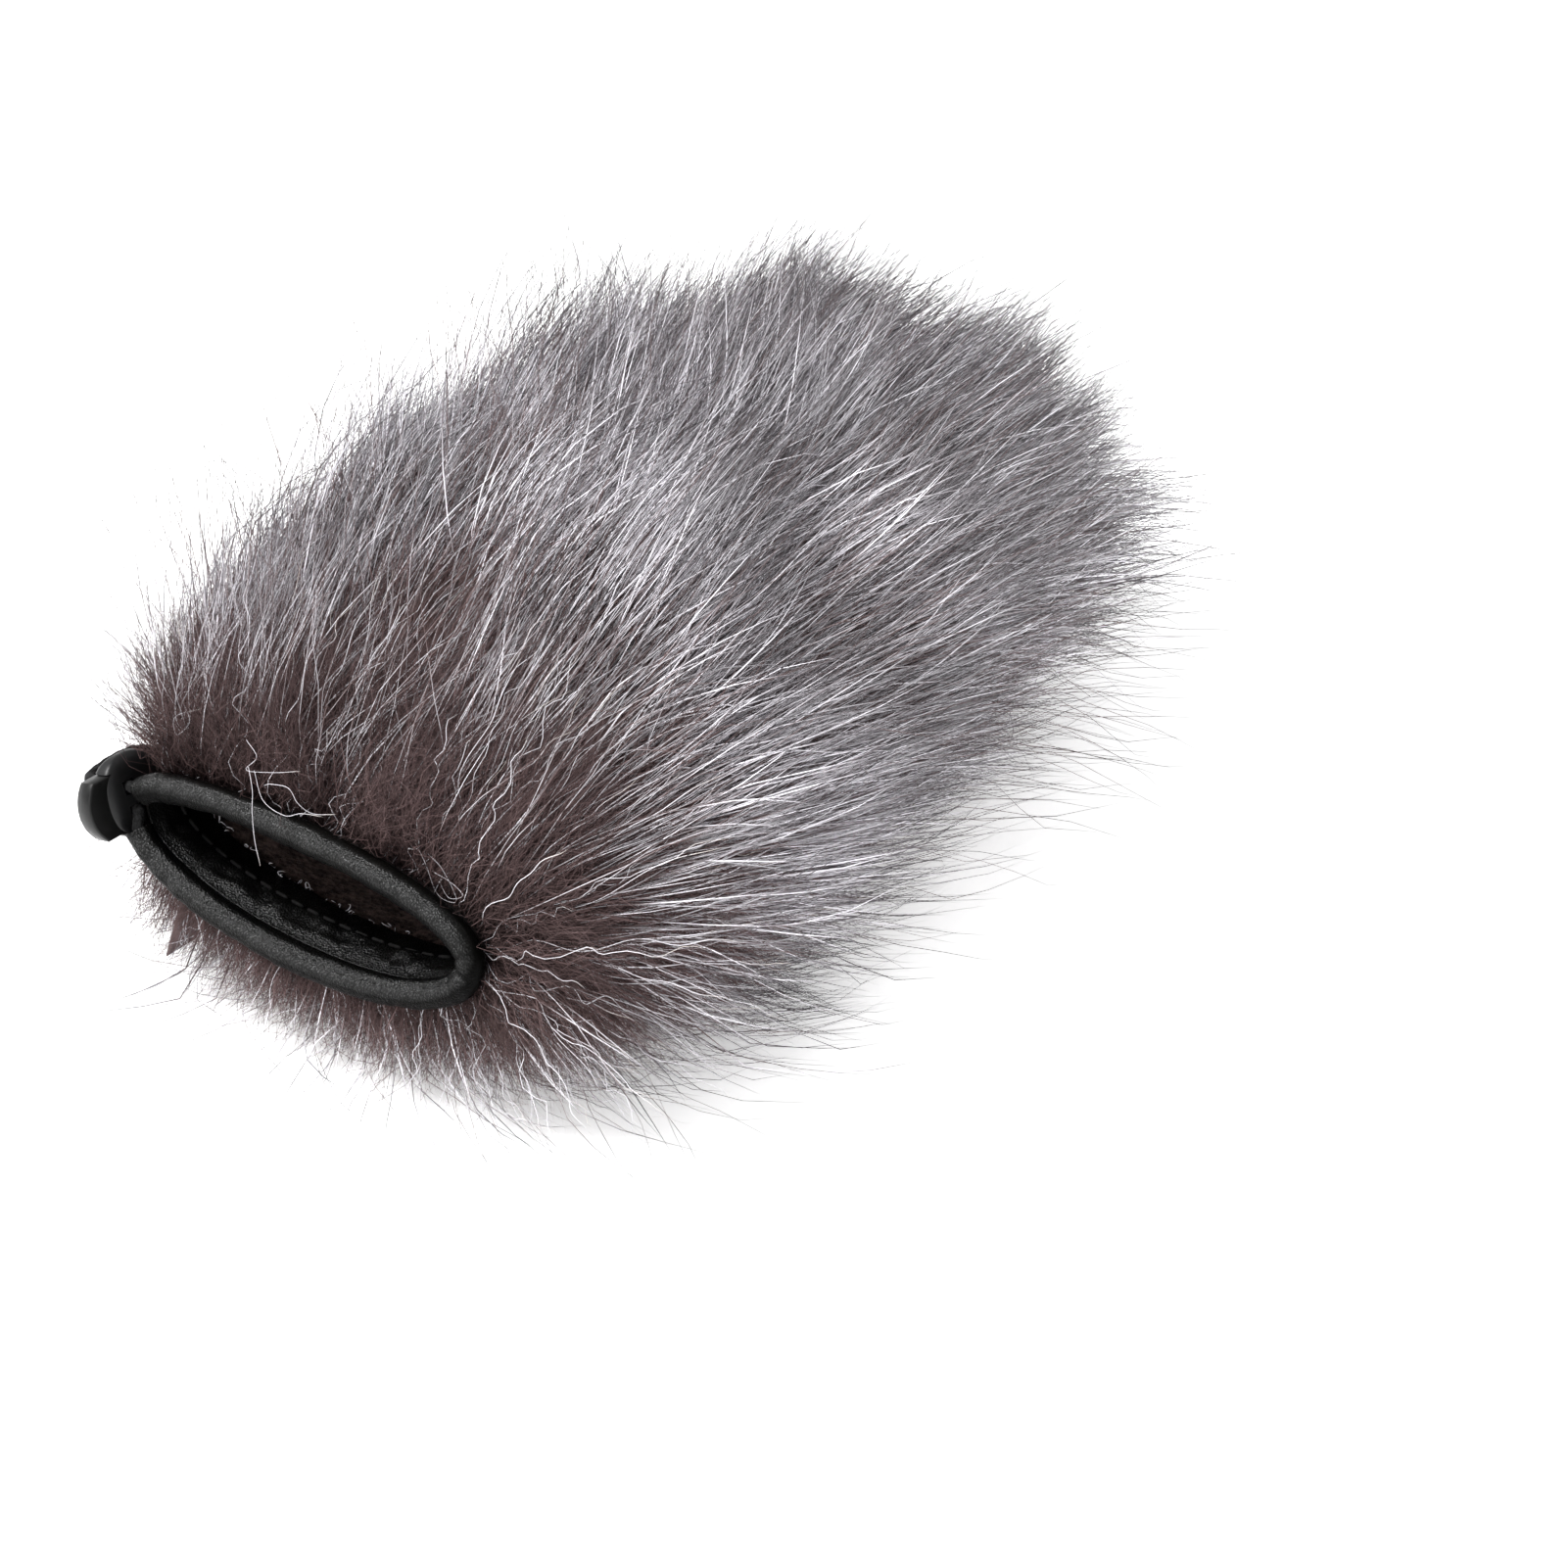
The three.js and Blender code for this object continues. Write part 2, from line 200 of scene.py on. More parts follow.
def superellipse(angle, power):
    return [np.sign(v) * np.abs(v) ** (2 / power) for v in (np.cos(angle), np.sin(angle))]


def cover_point(s, angle, grow):
    """s is the distance behind the mouth, grow the distance outward from the backing's face."""
    s, angle, grow = np.broadcast_arrays(*(np.asarray(v, float) for v in (s, angle, grow)))
    station = np.maximum(s, 0)
    opened = smooth(station / COVER_OPENS_OVER)
    tip = closing(station, COVER_TIP_START, COVER_LENGTH + grow, 2.3)
    across, upright = superellipse(angle, 2.15)
    wide = (lerp(MOUTH_HALF_WIDTH, COVER_HALF_WIDTH, opened) + grow) * tip
    rise = COVER_REAR_RISE * smooth((station - COVER_OPENS_OVER) / 50)
    up = (lerp(MOUTH_UP, COVER_UP, opened) + rise + grow) * tip
    down = (lerp(MOUTH_DOWN, COVER_DOWN, opened) + grow) * tip
    middle = lerp(MOUTH_Z, SEAM_Z, opened)
    y = wide * across
    smile = MOUTH_SMILE * (1 - opened) * (y / MOUTH_HALF_WIDTH) ** 2
    z = middle + np.where(upright > 0, up, down) * upright + smile
    lean = MOUTH_LEAN * (1 - smooth(station / 40))
    return np.stack([MOUTH_X + s + lean * (z - MOUTH_Z), y, z], axis=-1)


def pile_depth(s, angle):
    """How far the pile stands out from the backing, in round figures."""
    depth = flare((s - 3) / PILE_FLARE)
    below = flare((s - 3) / PILE_FLARE_BELOW)
    side = lerp(PILE_FRONT, PILE_HALF_WIDTH - COVER_HALF_WIDTH, depth)
    top = lerp(PILE_FRONT, PILE_UP - COVER_UP, depth) + PILE_REAR_RISE * smooth((s - 28) / 92)
    bottom = lerp(PILE_FRONT, PILE_DOWN - COVER_DOWN, below)
    up = np.sin(angle)
    return lerp(side, np.where(up > 0, top, bottom), up**2)


def rolled(points, roll):
    """The points turned about X."""
    x, y, z = (points[..., k] for k in range(3))
    c, d = math.cos(roll), math.sin(roll)
    return np.stack([x, c * y - d * z, d * y + c * z], axis=-1)


def from_lock(points):
    """From the cord lock's own axes, plunger along X and strands along Y, to the cover's."""
    return rolled(np.asarray(points, float), LOCK_ROLL) + LOCK_AT


# ---- noise made of sine waves


class Ripple:
    """A smooth random field with about unit spread."""

    def __init__(self, seed, wavelength, count=14):
        rng = np.random.default_rng(seed)
        way = unit(rng.normal(size=(count, 3)))
        reach = wavelength * rng.uniform(0.65, 1.5, count)
        self.waves = way * (TAU / reach)[:, None]
        self.phase = rng.uniform(0, TAU, count)
        self.scale = math.sqrt(2 / count)

    def __call__(self, points):
        return np.sin(points @ self.waves.T + self.phase).sum(axis=-1) * self.scale


def ripple_vector(seed, wavelength, points):
    return np.stack([Ripple(seed + i, wavelength)(points) for i in range(3)], axis=-1)


# ---- meshes


def mesh_object(name, points, faces, uv=None, uv_name=None):
    """faces is a list of (n x sides) index arrays, points are in millimetres and uv is a pair per point."""
    mesh = bpy.data.meshes.new(name)
    points = np.asarray(points, float).reshape(-1, 3) * MM
    corners = np.concatenate([f.ravel() for f in faces])
    sizes = np.concatenate([np.full(len(f), f.shape[1]) for f in faces])
    mesh.vertices.add(len(points))
    mesh.vertices.foreach_set("co", points.ravel().astype(np.float32))
    mesh.loops.add(len(corners))
    mesh.loops.foreach_set("vertex_index", corners.astype(np.int32))
    mesh.polygons.add(len(sizes))
    starts = np.concatenate([[0], np.cumsum(sizes)[:-1]])
    mesh.polygons.foreach_set("loop_start", starts.astype(np.int32))
    if uv is not None:
        layer = mesh.uv_layers.new(name=uv_name)
        layer.uv.foreach_set("vector", np.asarray(uv, np.float32)[corners].ravel())
    mesh.update(calc_edges=True)
    mesh.shade_smooth()
    return put(name, mesh)


def grid_faces(rows, columns, closed=False, offset=0):
    """Quads of a grid of points; a closed one joins its last column to its first."""
    i, j = np.meshgrid(np.arange(rows - 1), np.arange(columns if closed else columns - 1), indexing="ij")
    i, j = i.ravel() * columns, j.ravel()
    j2 = (j + 1) % columns
    quads = [i + j, i + columns + j, i + columns + j2, i + j2]
    return np.stack(quads, axis=1) + offset


def outward(points, faces):
    """The faces turned so that the closed body's volume is positive."""
    volume = 0.0
    for f in faces:
        for k in range(1, f.shape[1] - 1):
            a, b, c = points[f[:, 0]], points[f[:, k]], points[f[:, k + 1]]
            volume += (a * np.cross(b, c)).sum()
    return faces if volume > 0 else [f[:, ::-1] for f in faces]


def body(name, points, faces, uv=None):
    points = np.asarray(points, float).reshape(-1, 3)
    return mesh_object(name, points, outward(points, faces), uv, "section")


def shell(name, outer, inner, closed=False, uv=None):
    """A closed body between two grids of points of the same size."""
    rows, columns = outer.shape[:2]
    count = rows * columns

    def wall(a, b):
        return np.stack([a, b, b + count, a + count], axis=1)

    j = np.arange(columns if closed else columns - 1)
    j2 = (j + 1) % columns
    last = (rows - 1) * columns
    faces = [grid_faces(rows, columns, closed), grid_faces(rows, columns, closed, count)[:, ::-1]]
    faces += [wall(j, j2), wall(last + j2, last + j)]
    if not closed:
        i = np.arange(rows - 1) * columns
        far = i + columns - 1
        faces += [wall(i + columns, i), wall(far, far + columns)]
    points = np.concatenate([outer.reshape(-1, 3), inner.reshape(-1, 3)])
    both = None if uv is None else np.concatenate([uv.reshape(-1, 2)] * 2)
    return body(name, points, faces, both)


def frames_along(path):
    """Two unit vectors across each point of a path, turning as little as they can."""
    along = unit(np.gradient(path, axis=0))
    first = [unit(np.cross(along[0], [0.31, 0.17, 0.93]))]
    for t in along[1:]:
        first.append(unit(without(first[-1], t)))
    return np.array(first), np.cross(along, first)


def ring_ways(first, second, angle):
    """Unit vectors at each angle round each point of a path."""
    return first[:, None] * np.cos(angle)[:, None] + second[:, None] * np.sin(angle)[:, None]


def running(path, power=1):
    """The distance along a path at each of its points, with each step raised to the power."""
    steps = np.linalg.norm(np.diff(path, axis=0), axis=1)
    return np.concatenate([[0], np.cumsum(steps**power)])


def at_distances(path, run, wanted):
    return np.stack([np.interp(wanted, run, path[:, k]) for k in range(3)], axis=1)


def spline(points, count):
    """A centripetal Catmull-Rom curve through the points, at even steps of length."""

    def between(a, b, start, end):
        return (end - t) / (end - start) * a + (t - start) / (end - start) * b

    p = np.asarray(points, float)
    p = np.concatenate([[2 * p[0] - p[1]], p, [2 * p[-1] - p[-2]]])
    knots = running(p, 0.5)
    fine = []
    for i in range(1, len(p) - 2):
        t0, t1, t2, t3 = knots[i - 1 : i + 3]
        t = np.linspace(t1, t2, 24, endpoint=i == len(p) - 3)[:, None]
        a1 = between(p[i - 1], p[i], t0, t1)
        a2 = between(p[i], p[i + 1], t1, t2)
        a3 = between(p[i + 1], p[i + 2], t2, t3)
        fine.append(between(between(a1, a2, t0, t2), between(a2, a3, t1, t3), t1, t2))
    fine = np.concatenate(fine)
    run = running(fine)
    return at_distances(fine, run, np.linspace(0, run[-1], count))


def flat_ends(sides, first, last):
    """The faces that close a stack of rings, from the index of the first and of the last ring."""
    ring = np.arange(sides)
    return [ring[None] + first, ring[::-1][None] + last]


def tube_parts(path, radii, sides, offset=0):
    """Points and faces of a tube with flat ends; radii is one number or a (points x sides) array."""
    first, second = frames_along(path)
    radii = np.broadcast_to(radii, (len(path), sides))
    points = path[:, None] + ring_ways(first, second, turns(sides)) * radii[..., None]
    faces = grid_faces(len(path), sides, True, offset)
    last = offset + (len(path) - 1) * sides
    return points.reshape(-1, 3), [faces, *flat_ends(sides, offset, last)]


def tube(name, path, radii, sides):
    return body(name, *tube_parts(path, radii, sides))


def many_tubes(name, paths, radius, sides):
    """Separate tubes with narrowed ends, in one mesh."""
    points, faces, count = [], [], 0
    for path in paths:
        width = np.full((len(path), 1), radius)
        width[[0, -1]] *= 0.45
        p, f = tube_parts(path, width, sides, count)
        points.append(p)
        faces.extend(f)
        count += len(p)
    return body(name, np.concatenate(points), faces)


# ---- materials


def srgb(r, g, b):
    def linear(v):
        v /= 255
        return v / 12.92 if v <= 0.04045 else ((v + 0.055) / 1.055) ** 2.4

    return (linear(r), linear(g), linear(b), 1)


class Shader:
    """A Principled material with helpers for its procedural nodes."""

    def __init__(self, name, roughness, specular=0.5):
        self.material = bpy.data.materials.new(name)
        self.material.use_nodes = True
        self.tree = self.material.node_tree
        self.principled = self.tree.nodes["Principled BSDF"]
        self.set(Roughness=roughness, Specular_IOR_Level=specular)
        self.place = self.add("TexCoord", out="Object")

    def feed(self, node, key, value):
        """Gives an input a value, or links another node's output to it."""
        socket = node.inputs[key]
        if isinstance(value, bpy.types.NodeSocket):
            self.tree.links.new(value, socket)
        else:
            socket.default_value = value

    def set(self, **values):
        for key, value in values.items():
            self.feed(self.principled, key.replace("_", " "), value)

    def add(self, kind, *inputs, out=0, operation=None, **named):
        """A new node with its inputs in order or by name; gives one of its outputs."""
        node = self.tree.nodes.new("ShaderNode" + kind)
        if operation:
            node.operation = operation
        for key, value in [*enumerate(inputs), *named.items()]:
            self.feed(node, key, value)
        return node.outputs[out]

    def uv(self, name):
        node = self.tree.nodes.new("ShaderNodeUVMap")
        node.uv_map = name
        return self.add("SeparateXYZ", node.outputs[0], out=slice(0, 2))

    def noise(self, scale, detail, roughness=0.5, vector=None):
        vector = vector or self.place
        return self.add("TexNoise", Vector=vector, Scale=scale, Detail=detail, Roughness=roughness)

    def cells(self, scale):
        return self.add("TexVoronoi", Vector=self.place, Scale=scale, out="Distance")

    def remap(self, value, low, high, to_low, to_high):
        return self.add("MapRange", value, low, high, to_low, to_high)

    def math(self, operation, a, b=0):
        return self.add("Math", a, b, operation=operation)

    def times(self, a, b):
        return self.math("MULTIPLY", a, b)

    def ramp(self, value, *stops):
        """Each stop is a place from 0 to 1 and an sRGB colour."""
        node = self.tree.nodes.new("ShaderNodeValToRGB")
        elements = node.color_ramp.elements
        while len(elements) < len(stops):
            elements.new(1)
        for element, (at, colour) in zip(elements, stops):
            element.position = at
            element.color = srgb(*colour)
        self.feed(node, 0, value)
        return node.outputs[0]

    def tint(self, colour, factor):
        """Colours by a tone times a grey value."""
        self.set(Base_Color=self.add("VectorMath", colour, Scale=factor, operation="SCALE"))

    def painted_shade_behind_roll(self, dark_to, full_from):
        """Painted shade: a factor that darkens what lies close behind the roll; the places are metres along
        X.
        """
        return self.remap(self.add("SeparateXYZ", self.place), dark_to, full_from, 0.1, 1)

    def mottle(self, scale, detail, roughness, *stops):
        """Colours with tones that wander between the stops."""
        self.set(Base_Color=self.ramp(self.noise(scale, detail, roughness), *stops))

    def roughness(self, scale, low, high):
        """A roughness that wanders between two values."""
        self.set(Roughness=self.remap(self.noise(scale, 3, 0.6), 0.3, 0.7, low, high))

    def bump(self, height, strength, distance):
        self.set(Normal=self.add("Bump", Height=height, Strength=strength, Distance=distance))


def strand_material(name, roughness, specular, spread, patch, shift, *stops):
    """Takes u as the strand's shade and v as the way from root to tip.

    spread is the difference between strands, patch that between places; shift moves the stops by shade.
    """
    shader = Shader(name, roughness, specular)
    shade, along = shader.uv("OFBake")
    along = shader.math("ADD", along, shader.remap(shade, 0, 1, -shift, shift))
    factor = shader.remap(shader.math("FRACT", shader.times(shade, 7)), 0, 1, 1 - spread, 1 + spread)
    patches = shader.remap(shader.noise(26, 2), 0.35, 0.65, 1 - patch, 1 + patch)
    shader.tint(shader.ramp(along, *stops), shader.times(factor, patches))
    return shader.material


def finish_piece(obj, material, riding, slot, *replaced):
    obj.data.materials.clear()
    obj.data.materials.append(material)
    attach(obj, riding)
    if replaced:
        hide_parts(*replaced)


def leather_material(name, grain_band):
    """Dull in the grain's furrows, with a painted sheen on the crowns of what faces up and forward."""
    shader = Shader(name, 0.3)
    pebble = shader.cells(2900)
    fine = shader.noise(7000, 2, 0.6)
    height = shader.math("SUBTRACT", shader.times(fine, 0.4), pebble)
    # Painted highlight: the specular level rises on what faces up and forward, where the key light's
    # highlight falls.
    normal = shader.add("TexCoord", out="Normal")
    facing_up = shader.add("VectorMath", normal, (-0.62, 0, 0.78), operation="DOT_PRODUCT", out="Value")
    painted_sheen = shader.remap(facing_up, 0.6, 0.97, 0, 1)
    crown = shader.remap(pebble, 0.15, 0.5, 1, 0.3)
    shader.set(Specular_IOR_Level=shader.remap(shader.times(painted_sheen, crown), 0, 1, 0.03, 0.6))
    if grain_band:
        _, around = shader.uv("section")
        off = shader.math("ABSOLUTE", shader.math("SUBTRACT", around, 0.55))
        height = shader.times(height, shader.remap(off, 0.1, 0.16, 0.1, 1))
    shader.bump(height, 1.0, 0.00013)
    shader.mottle(90, 4, 0.6, (0.3, (3, 3, 3)), (0.7, (8, 8, 7)))
    shader.roughness(700, 0.24, 0.36)
    return shader.material


def knit_material():
    shader = Shader("knitted_backing", 0.9, 0.2)
    fuzz = shader.noise(3500, 4, 0.7)
    shader.bump(shader.math("ADD", shader.cells(900), shader.times(fuzz, 0.6)), 0.8, 0.0004)
    tone = shader.ramp(shader.noise(420, 5, 0.7), (0.35, (38, 30, 28)), (0.7, (112, 94, 89)))
    # Painted shade: the knit is darkened close behind the roll, where the roll and the fur shade it.
    shader.tint(tone, shader.painted_shade_behind_roll(-0.09, -0.085))
    return shader.material


def plastic_material(name, tone, roughness):
    shader = Shader(name, roughness, 0.28)
    shader.mottle(260, 3, 0.5, (0.3, tone), (0.7, [t + 6 for t in tone]))
    shader.roughness(1800, roughness - 0.04, roughness + 0.06)
    shader.bump(shader.noise(2600, 2), 0.08, 0.0001)
    return shader.material


def braid_material():
    shader = Shader("braided_elastic", 0.8, 0.15)
    shader.bump(shader.cells(2300), 0.7, 0.00025)
    shader.mottle(1400, 3, 0.6, (0.3, (14, 14, 14)), (0.75, (40, 40, 41)))
    return shader.material


def thread_material():
    shader = Shader("sewing_thread", 0.8, 0.12)
    shader.bump(shader.noise(6000, 2), 0.5, 0.0001)
    shader.mottle(900, 3, 0.6, (0.3, (8, 8, 8)), (0.75, (24, 23, 23)))
    return shader.material


def steel_material():
    shader = Shader("spring_wire", 0.28)
    shader.set(Metallic=1.0)
    shader.mottle(500, 3, 0.6, (0.3, (150, 152, 155)), (0.7, (196, 198, 202)))
    return shader.material


leather_roll = leather_material("pebbled_leather", True)
leather_flat = leather_material("leather_facing", False)
knit = knit_material()
lock_black = plastic_material("lock_plastic_black", (15, 15, 16), 0.4)
button_black = plastic_material("button_plastic_black", (12, 12, 12), 0.34)
braid = braid_material()
thread = thread_material()
steel = steel_material()

# ---- drawcord and its loop

LOOP_ROUTE = [
    (0, STRAND_END + GAP, HALF_SPACING), (0.25, 7.2, 2), (1.3, 8.7, 1.9), (3.2, 9.5, 1.9), (5.6, 9.7, 2.1),
    (8.3, 9.4, 2.3), (11, 9, 2.1), (13.6, 8.6, 1.1), (15.3, 8.3, -0.7), (15.7, 8.2, -3), (14.8, 8.3, -5.2),
    (12.7, 8.6, -6.7), (10, 9, -7.1), (7.2, 9.4, -6.5), (4.8, 9.7, -5.4), (2.8, 9.4, -4.3),
    (1.1, 8.6, -3.2), (0.25, 7.2, -2.4), (0, STRAND_END + GAP, -HALF_SPACING),
]


def braided(name, path):
    """The cord: two sets of strands cross in low diamonds."""
    sides = 16
    turn = running(path)[:, None] * 2.6
    angle = turns(sides)
    weave = np.maximum(np.cos(4 * angle + turn), np.cos(4 * angle - turn))
    return tube(name, path, CORD_RADIUS * (0.95 + 0.05 * weave), sides)


loop_path = spline(from_lock(LOOP_ROUTE), 240)
loop = braided("drawcord_loop_elastic", loop_path)
finish_piece(loop, braid, "cover", "elastic", "drawcord_loop")

ring_angles = np.linspace(ROLL_GAP_ABOVE, TAU - ROLL_GAP_BELOW, 41)
strand_ys = np.array([STRAND_END, 0, -BARREL_WIDTH / 2 - 0.2])
cord_points = np.concatenate([
    from_lock([(0, y, HALF_SPACING) for y in strand_ys]),
    cover_point(0, ring_angles, 0),
    from_lock([(0, y, -HALF_SPACING) for y in strand_ys[::-1]]),
])
cord = braided("drawcord_elastic", spline(cord_points, 900))
finish_piece(cord, braid, "cover", "elastic", "drawcord")

# ---- knitted backing, seams and stitches


def stations(count, start, end):
    """Distances behind the mouth that lie closer together near the tip."""
    return start + (end - start) * np.sin(np.linspace(0, 1, count) * math.pi / 2)


def half_angles(upper, margin, count):
    start = 0 if upper else math.pi
    return np.linspace(start + margin, start + math.pi - margin, count)


def hold_to_half(points, upper, where=True):
    """Keeps a half's points on its own side of the seam."""
    limit = SEAM_Z + (GAP / 2 if upper else -GAP / 2)
    clip = np.maximum if upper else np.minimum
    points[..., 2] = np.where(where, clip(points[..., 2], limit), points[..., 2])


def backing_half(name, upper, replaced):
    angles = half_angles(upper, 0.004, 120)
    out_s = stations(150, KNIT_START, KNIT_END)[:, None]
    in_s = stations(150, KNIT_START, KNIT_END - KNIT)[:, None]
    outer = cover_point(out_s, angles, 0)
    inner = cover_point(in_s, angles, -KNIT)
    puff = 0.12 * Ripple(5 + upper, 9)(inner)[..., None]
    inner += puff * (0, 0.4, 0.9) * np.sign(inner - (0, 0, SEAM_Z))
    hold_to_half(outer, upper, out_s > SEAM_START)
    hold_to_half(inner, upper, in_s > SEAM_START)
    finish_piece(shell(name, outer, inner), knit, "cover", "knit", replaced)


backing_half("backing_upper_knit", True, "backing_upper")
backing_half("backing_lower_knit", False, "backing_lower")


def seam_allowance(name, side_angle, low, high):
    """A strip of the knit turned inward at the seam, with a ragged inner edge."""
    s = stations(110, SEAM_START, COVER_LENGTH - KNIT - SEAM_ALLOWANCE - 0.5)
    outer_edge = cover_point(s, side_angle, -KNIT + 0.05)
    inner_edge = cover_point(s, side_angle, -KNIT - SEAM_ALLOWANCE)
    inner_edge[:, 1] += 0.25 * Ripple(31, 5)(inner_edge)
    wide = np.linspace(0, 1, 8)
    flat = np.stack([lerp(outer_edge, inner_edge, w) for w in wide], axis=1)
    top, bottom = flat.copy(), flat.copy()
    curl = 0.25 * smooth(wide)
    top[..., 2] = high + curl
    bottom[..., 2] = low + curl * 0.4
    finish_piece(shell(name, top, bottom), knit, "cover", "knit")


for side, side_angle in (("left", 0.0), ("right", math.pi)):
    above, below = SEAM_Z + GAP / 2, SEAM_Z - GAP / 2
    seam_allowance(f"seam_allowance_upper_{side}", side_angle, above + 0.02, above + 0.95)
    seam_allowance(f"seam_allowance_lower_{side}", side_angle, below - 1.4, below - 0.3)


def stitches(path, stitch, space, sink):
    """Short arched pieces along a path; sink is the way that their ends dip."""
    run = running(path)
    dip = (np.linspace(-1, 1, 9) ** 4)[:, None] * sink
    paths = []
    start = 0.3
    while start + stitch < run[-1]:
        paths.append(at_distances(path, run, np.linspace(start, start + stitch, 9)) + dip)
        start += stitch + space
    return paths


hem_inset = -KNIT - GAP - FACING_THICKNESS - THREAD_RADIUS - 0.3
hem_path = cover_point(HEM_AT, np.linspace(0.06, TAU - 0.06, 600), hem_inset)
hem = many_tubes("hem_stitches", stitches(hem_path, 2.5, 0.9, np.zeros(3)), THREAD_WIDTH / 2, 8)
finish_piece(hem, thread, "cover", "thread", "hem_stitching")

seam_inset = -KNIT - SEAM_ALLOWANCE / 2
seam_path = cover_point(stations(200, SEAM_START + 2, COVER_LENGTH + seam_inset), 0.0, seam_inset)
seam_path[:, 2] = SEAM_Z + GAP / 2 + 1 + GAP + THREAD_RADIUS
mirror = seam_path[:-1][::-1] * np.array([1, -1, 1])
seam_stitches = stitches(np.concatenate([seam_path, mirror]), 2.6, 0.8, np.array([0, 0, -0.3]))
seam = many_tubes("side_seam_stitches", seam_stitches, THREAD_WIDTH / 2, 8)
finish_piece(seam, thread, "cover", "thread", "side_seam_thread")

# ---- mouth


# Each crease of the roll: its place from 0 to 1 along it, its width on the same scale, and its depth.
CREASES = (0.497, 0.004, 0.34), (0.478, 0.0035, 0.16), (0.52, 0.003, 0.14), (0.035, 0.003, 0.16)


def mouth_roll():
    count, sides = 900, 40
    angles = np.linspace(ROLL_GAP_ABOVE, TAU - ROLL_GAP_BELOW, count * 3)
    path = spline(cover_point(0, angles, 0)[::9], count)
    along = unit(np.gradient(path, axis=0))
    inward = unit(without((MOUTH_X, 0, MOUTH_Z) - path, along))
    front = np.cross(along, inward)
    front *= np.sign(-front[:, :1])
    run = np.linspace(0, 1, count)[:, None]
    round_angle = turns(sides)
    ring = ring_ways(inward, front, round_angle)
    base = path[:, None] + ring * ROLL_RADIUS
    lumps = 0.07 * Ripple(41, 14)(base) + 0.035 * Ripple(42, 3.5)(base)
    crease = 0.0
    for at, width, depth in CREASES:
        crease = crease + depth * bell(run, at, width) * (0.6 + 0.4 * np.cos(round_angle - 0.4))
    edge = 0.14 * bell(round_angle, 0.75, 0.13)
    bead = 0.08 * bell(round_angle, 0.28, 0.3)
    outer = path[:, None] + ring * (ROLL_RADIUS + lumps - crease - edge + bead)[..., None]
    inner = path[:, None] + ring * TUNNEL_RADIUS
    section = np.stack(np.broadcast_arrays(run, (round_angle / TAU)[None]), axis=-1)
    roll = shell("mouth_binding_roll", outer, inner, True, section)
    finish_piece(roll, leather_roll, "cover", "leather", "mouth_binding")


mouth_roll()


def facing():
    """The facing, thin at its front edge behind the roll, with a fold and soft wrinkles."""
    front = FACING_START - FACING_LIP
    s = np.linspace(front, FACING_END, 40)[:, None]
    angles = turns(420) + TAU / 840
    t = (s - FACING_START) / (FACING_END - FACING_START)
    fold = 0.45 * bell(t, 0.45, 0.22) * (0.7 + 0.3 * np.sin(3 * angles + 1))
    outer = cover_point(s, angles, -KNIT - GAP - 0.1 - 0.3 * t)
    wrinkle = 0.12 * Ripple(51, 7)(outer) + 0.05 * Ripple(52, 2.5)(outer)
    thickness = FACING_THICKNESS * lerp(0.25, 1, smooth((s - front) / 2.5))
    relief = np.minimum(wrinkle, 0.2) * smooth(t * 5) - fold
    inner = cover_point(s, angles, -KNIT - GAP - thickness - 0.3 * t + relief)
    lining = shell("mouth_facing_leather", outer, inner, True)
    finish_piece(lining, leather_flat, "cover", "leather", "mouth_facing")


facing()

# ---- cord lock


def finish_lock_piece(obj, material, riding, replaced, sharp_from):
    """Brings a piece from the lock's own axes to its place, with hard edges from an angle in degrees."""
    obj.data.set_sharp_from_angle(angle=math.radians(sharp_from))
    obj.data.transform(Matrix.Rotation(LOCK_ROLL, 4, "X"))
    obj.data.transform(Matrix.Translation(Vector(LOCK_AT) * MM))
    finish_piece(obj, material, riding, "lock_plastic", replaced)


def cut(obj, low, high):
    """Takes a box away from a piece."""
    corners = [(x, y, z) for x in (low[0], high[0]) for y in (low[1], high[1]) for z in (low[2], high[2])]
    quads = np.array([[0, 1, 3, 2], [4, 6, 7, 5], [0, 4, 5, 1], [2, 3, 7, 6], [0, 2, 6, 4], [1, 5, 7, 3]])
    cutter = body("cutter", corners, [quads])
    step = obj.modifiers.new("cut", "BOOLEAN")
    step.operation = "DIFFERENCE"
    step.solver = "EXACT"
    step.object = cutter
    result = bpy.data.meshes.new_from_object(obj.evaluated_get(bpy.context.evaluated_depsgraph_get()))
    obj.modifiers.clear()
    old, obj.data = obj.data, result
    bpy.data.meshes.remove(old)
    bpy.data.objects.remove(cutter)


def cut_bores(obj, front, rear):
    """The two cross bores for the cord, from front to rear."""
    for z in (-HALF_SPACING, HALF_SPACING):
        cut(obj, (front, -20, z - BORE), (rear, 20, z + BORE))


